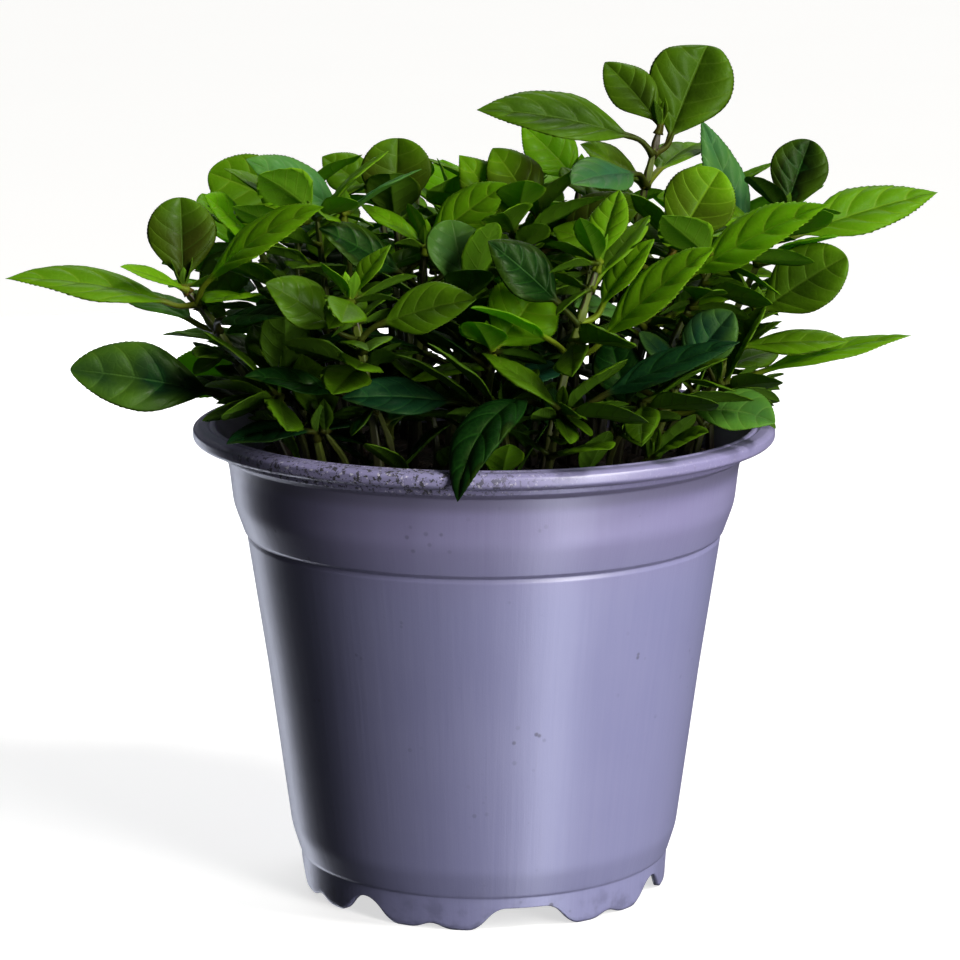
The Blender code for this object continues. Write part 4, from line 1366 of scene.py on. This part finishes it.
def makeMixTop():
    # A body of revolution inside the wall whose top is lumpy: the crown falls outwards and waves are added.
    shape = mixShape
    turn = np.radians(360 * np.arange(shape["columns"]) / shape["columns"])
    spoke = np.stack([np.cos(turn), np.sin(turn)], -1)
    rows = []
    coarse, mid, fineWaves = Waves(3, 11 * mm), Waves(4, 4 * mm), Waves(5, 1.7 * mm, 20)
    for r in shape["reach"] * np.sqrt(np.linspace(0.0006, 1, shape["rows"])):
        flat = ringOf(spoke, r, 95.0) * mm
        bump = 0.7 * coarse.at(flat) + 0.45 * mid.at(flat) + 0.4 * np.abs(fineWaves.at(flat))
        lump = np.clip(bump * shape["lumps"], *shape["lumpRange"])
        flat[:, 2] = (shape["level"] + shape["crown"] * (1 - r / shape["reach"]) + lump) * mm
        rows.append(flat)
    rows += [ringOf(spoke, r, z) * mm for r, z in shape["wall"]]
    return closedTube(np.array(rows))


def makeCrumbs(count, seed):
    # Lumps of peat and bark: a small globe whose radius varies, stretched and turned at random.
    rng = np.random.default_rng(seed)
    lat = np.linspace(0, math.pi, 5)[1:-1][:, None]
    lon = np.linspace(0, 2 * math.pi, 7, endpoint=False)[None]
    x, y = np.sin(lat) * np.cos(lon), np.sin(lat) * np.sin(lon)
    globe = np.stack(np.broadcast_arrays(x, y, np.cos(lat)), -1)
    shapes = []
    for _ in range(count):
        reach = mixShape["crumbReach"] * math.sqrt(rng.uniform(0, 1))
        turn = rng.uniform(0, 2 * math.pi)
        size = rng.uniform(0.5, 1.0) ** 2 * np.array([1.5, rng.uniform(0.7, 1.3), rng.uniform(0.4, 0.8)])
        wobble = rng.uniform(0.75, 1.2, globe.shape[:2])[..., None]
        axes, _ = np.linalg.qr(rng.normal(size=(3, 3)))
        rings = (globe * wobble * size) @ axes.T
        place = np.array([reach * math.cos(turn), reach * math.sin(turn), 95.6 + 1.0 * (1 - reach / 54)])
        shapes.append(closedTube((rings + place) * mm))
    return joined(shapes)


mixMaterial = makeMixMaterial()
makePiece("potting_mix_body", makeMixTop(), mixMaterial, ["potting_mix"])
makePiece("mix_crumbs", makeCrumbs(mixShape["crumbs"], 8), mixMaterial)
print("pot and mix made")


studio = {
    "floor": (0.50, 0.50, 0.50),
    "floorPatch": (0.48, 0.48, 0.48),
    "floorGlow": 0.64,
    "floorReach": 6,
    "floorCorners": 96,
    "sky": (0.93, 0.96, 1.0),
    "background": 1.0,   # how bright the world looks, and how much light it gives
    "fill": 0.04,
    "lens": 115.5,
    "sensor": 36.0,
    "shift": -1 / 240,   # sideways, as a share of the width
    "cameraTilt": 79.0,  # degrees from straight down
}

# heading from the front towards +X, distance, height, upward tilt, size, power, colour, and whether it
# lights matt and glossy surfaces
panels = {
    "softbox": (40, 0.95, 0.525, 0, (0.26, 1.05), 15.5, (1.0, 0.985, 0.96), True, True),
    "glossStrip": (36, 0.71, -0.31, 27, (0.20, 0.8), 2.6, (0.80, 0.84, 1.0), False, True),
    "backbox": (196, 0.95, 0.34, 0, (0.5, 0.7), 9.5, (0.97, 0.98, 1.0), True, False),
    "backStrip": (216, 0.71, -0.31, 27, (0.20, 0.8), 2.0, (0.80, 0.84, 1.0), False, True),
}
# heading, height above the level, spread in degrees, power and colour
suns = {
    "sunRight": (68, 46, 10, 2.0, (1.0, 0.98, 0.92)),
    "sunBehind": (165, 50, 30, 0.7, (1.0, 0.99, 0.95)),
}


def makeFloor():
    # a wide disc that only the camera sees, and that takes shadows
    material, start, shader = newMaterial("paleFloor")
    place = start.node("TexCoord", output=3)
    tint = start.noise(place, 3.0, 2.0)
    feed(shader, Base_Color=tint.blend(studio["floor"], studio["floorPatch"]), Roughness=0.7 + tint * 0.1,
         Emission_Color=(1.0, 1.0, 1.0, 1.0), Emission_Strength=studio["floorGlow"])
    mesh = bpy.data.meshes.new("floor")
    turn = np.linspace(0, 2 * math.pi, studio["floorCorners"], endpoint=False)
    points = ringOf(np.stack([np.cos(turn), np.sin(turn)], -1), studio["floorReach"], 0)
    mesh.from_pydata(points.tolist(), [], [list(range(len(points)))])
    mesh.materials.append(material)
    floor = bpy.data.objects.new("floor", mesh)
    bpy.context.collection.objects.link(floor)
    floor.visible_diffuse = False  # a lit floor would brighten the pot's shaded side
    floor.visible_glossy = False
    floor.visible_shadow = False


def makeWorld():
    # the background is pale to the eye and dimmer as light
    world = bpy.data.worlds.new("studio")
    world.use_nodes = True
    start = Wire(world.node_tree)
    for old in list(world.node_tree.nodes):
        world.node_tree.nodes.remove(old)
    seen = start.node("LightPath")
    strength = seen * (studio["background"] - studio["fill"]) + studio["fill"]
    sky = start.node("Background", {}, {"Color": (*studio["sky"], 1.0), "Strength": strength})
    out = world.node_tree.nodes.new("ShaderNodeOutputWorld")
    world.node_tree.links.new(sky.socket, out.inputs["Surface"])
    bpy.context.scene.world = world


def addPanel(name, heading, away, height, tilt, size, power, colour, matt, gloss):
    # a panel that faces the pot
    turn = math.radians(heading)
    data = bpy.data.lights.new(name, "AREA")
    data.shape = "RECTANGLE"
    data.size, data.size_y = size
    data.energy = power
    data.color = colour
    lamp = bpy.data.objects.new(name, data)
    lamp.location = (away * math.sin(turn), -away * math.cos(turn), height)
    lamp.rotation_euler = (math.radians(90 + tilt), 0.0, turn)
    lamp.visible_diffuse = matt
    lamp.visible_glossy = gloss
    bpy.context.collection.objects.link(lamp)


def addSun(name, heading, rise, spread, power, colour):
    # a far, wide light, so that the floor is lit evenly
    data = bpy.data.lights.new(name, "SUN")
    data.angle = math.radians(spread)
    data.energy = power
    data.color = colour
    lamp = bpy.data.objects.new(name, data)
    lamp.rotation_euler = (math.radians(90 - rise), 0.0, math.radians(heading))
    bpy.context.collection.objects.link(lamp)


def makeCamera():
    data = bpy.data.cameras.new("camera")
    data.lens, data.sensor_width = studio["lens"], studio["sensor"]
    data.shift_x = studio["shift"]
    camera = bpy.data.objects.new("camera", data)
    camera.location = eye
    camera.rotation_euler = (math.radians(studio["cameraTilt"]), 0.0, 0.0)
    bpy.context.collection.objects.link(camera)
    bpy.context.scene.camera = camera


makeFloor()
makeWorld()
for name, values in panels.items():
    addPanel(name, *values)
for name, values in suns.items():
    addSun(name, *values)
makeCamera()
bpy.context.scene.view_settings.view_transform = "Standard"
print("floor, lights and camera made")

total = sum(len(face.vertices) - 2 for o in bpy.data.objects
            if o.type == "MESH" and o.name not in nodes for face in o.data.polygons)
print("triangles added:", total)
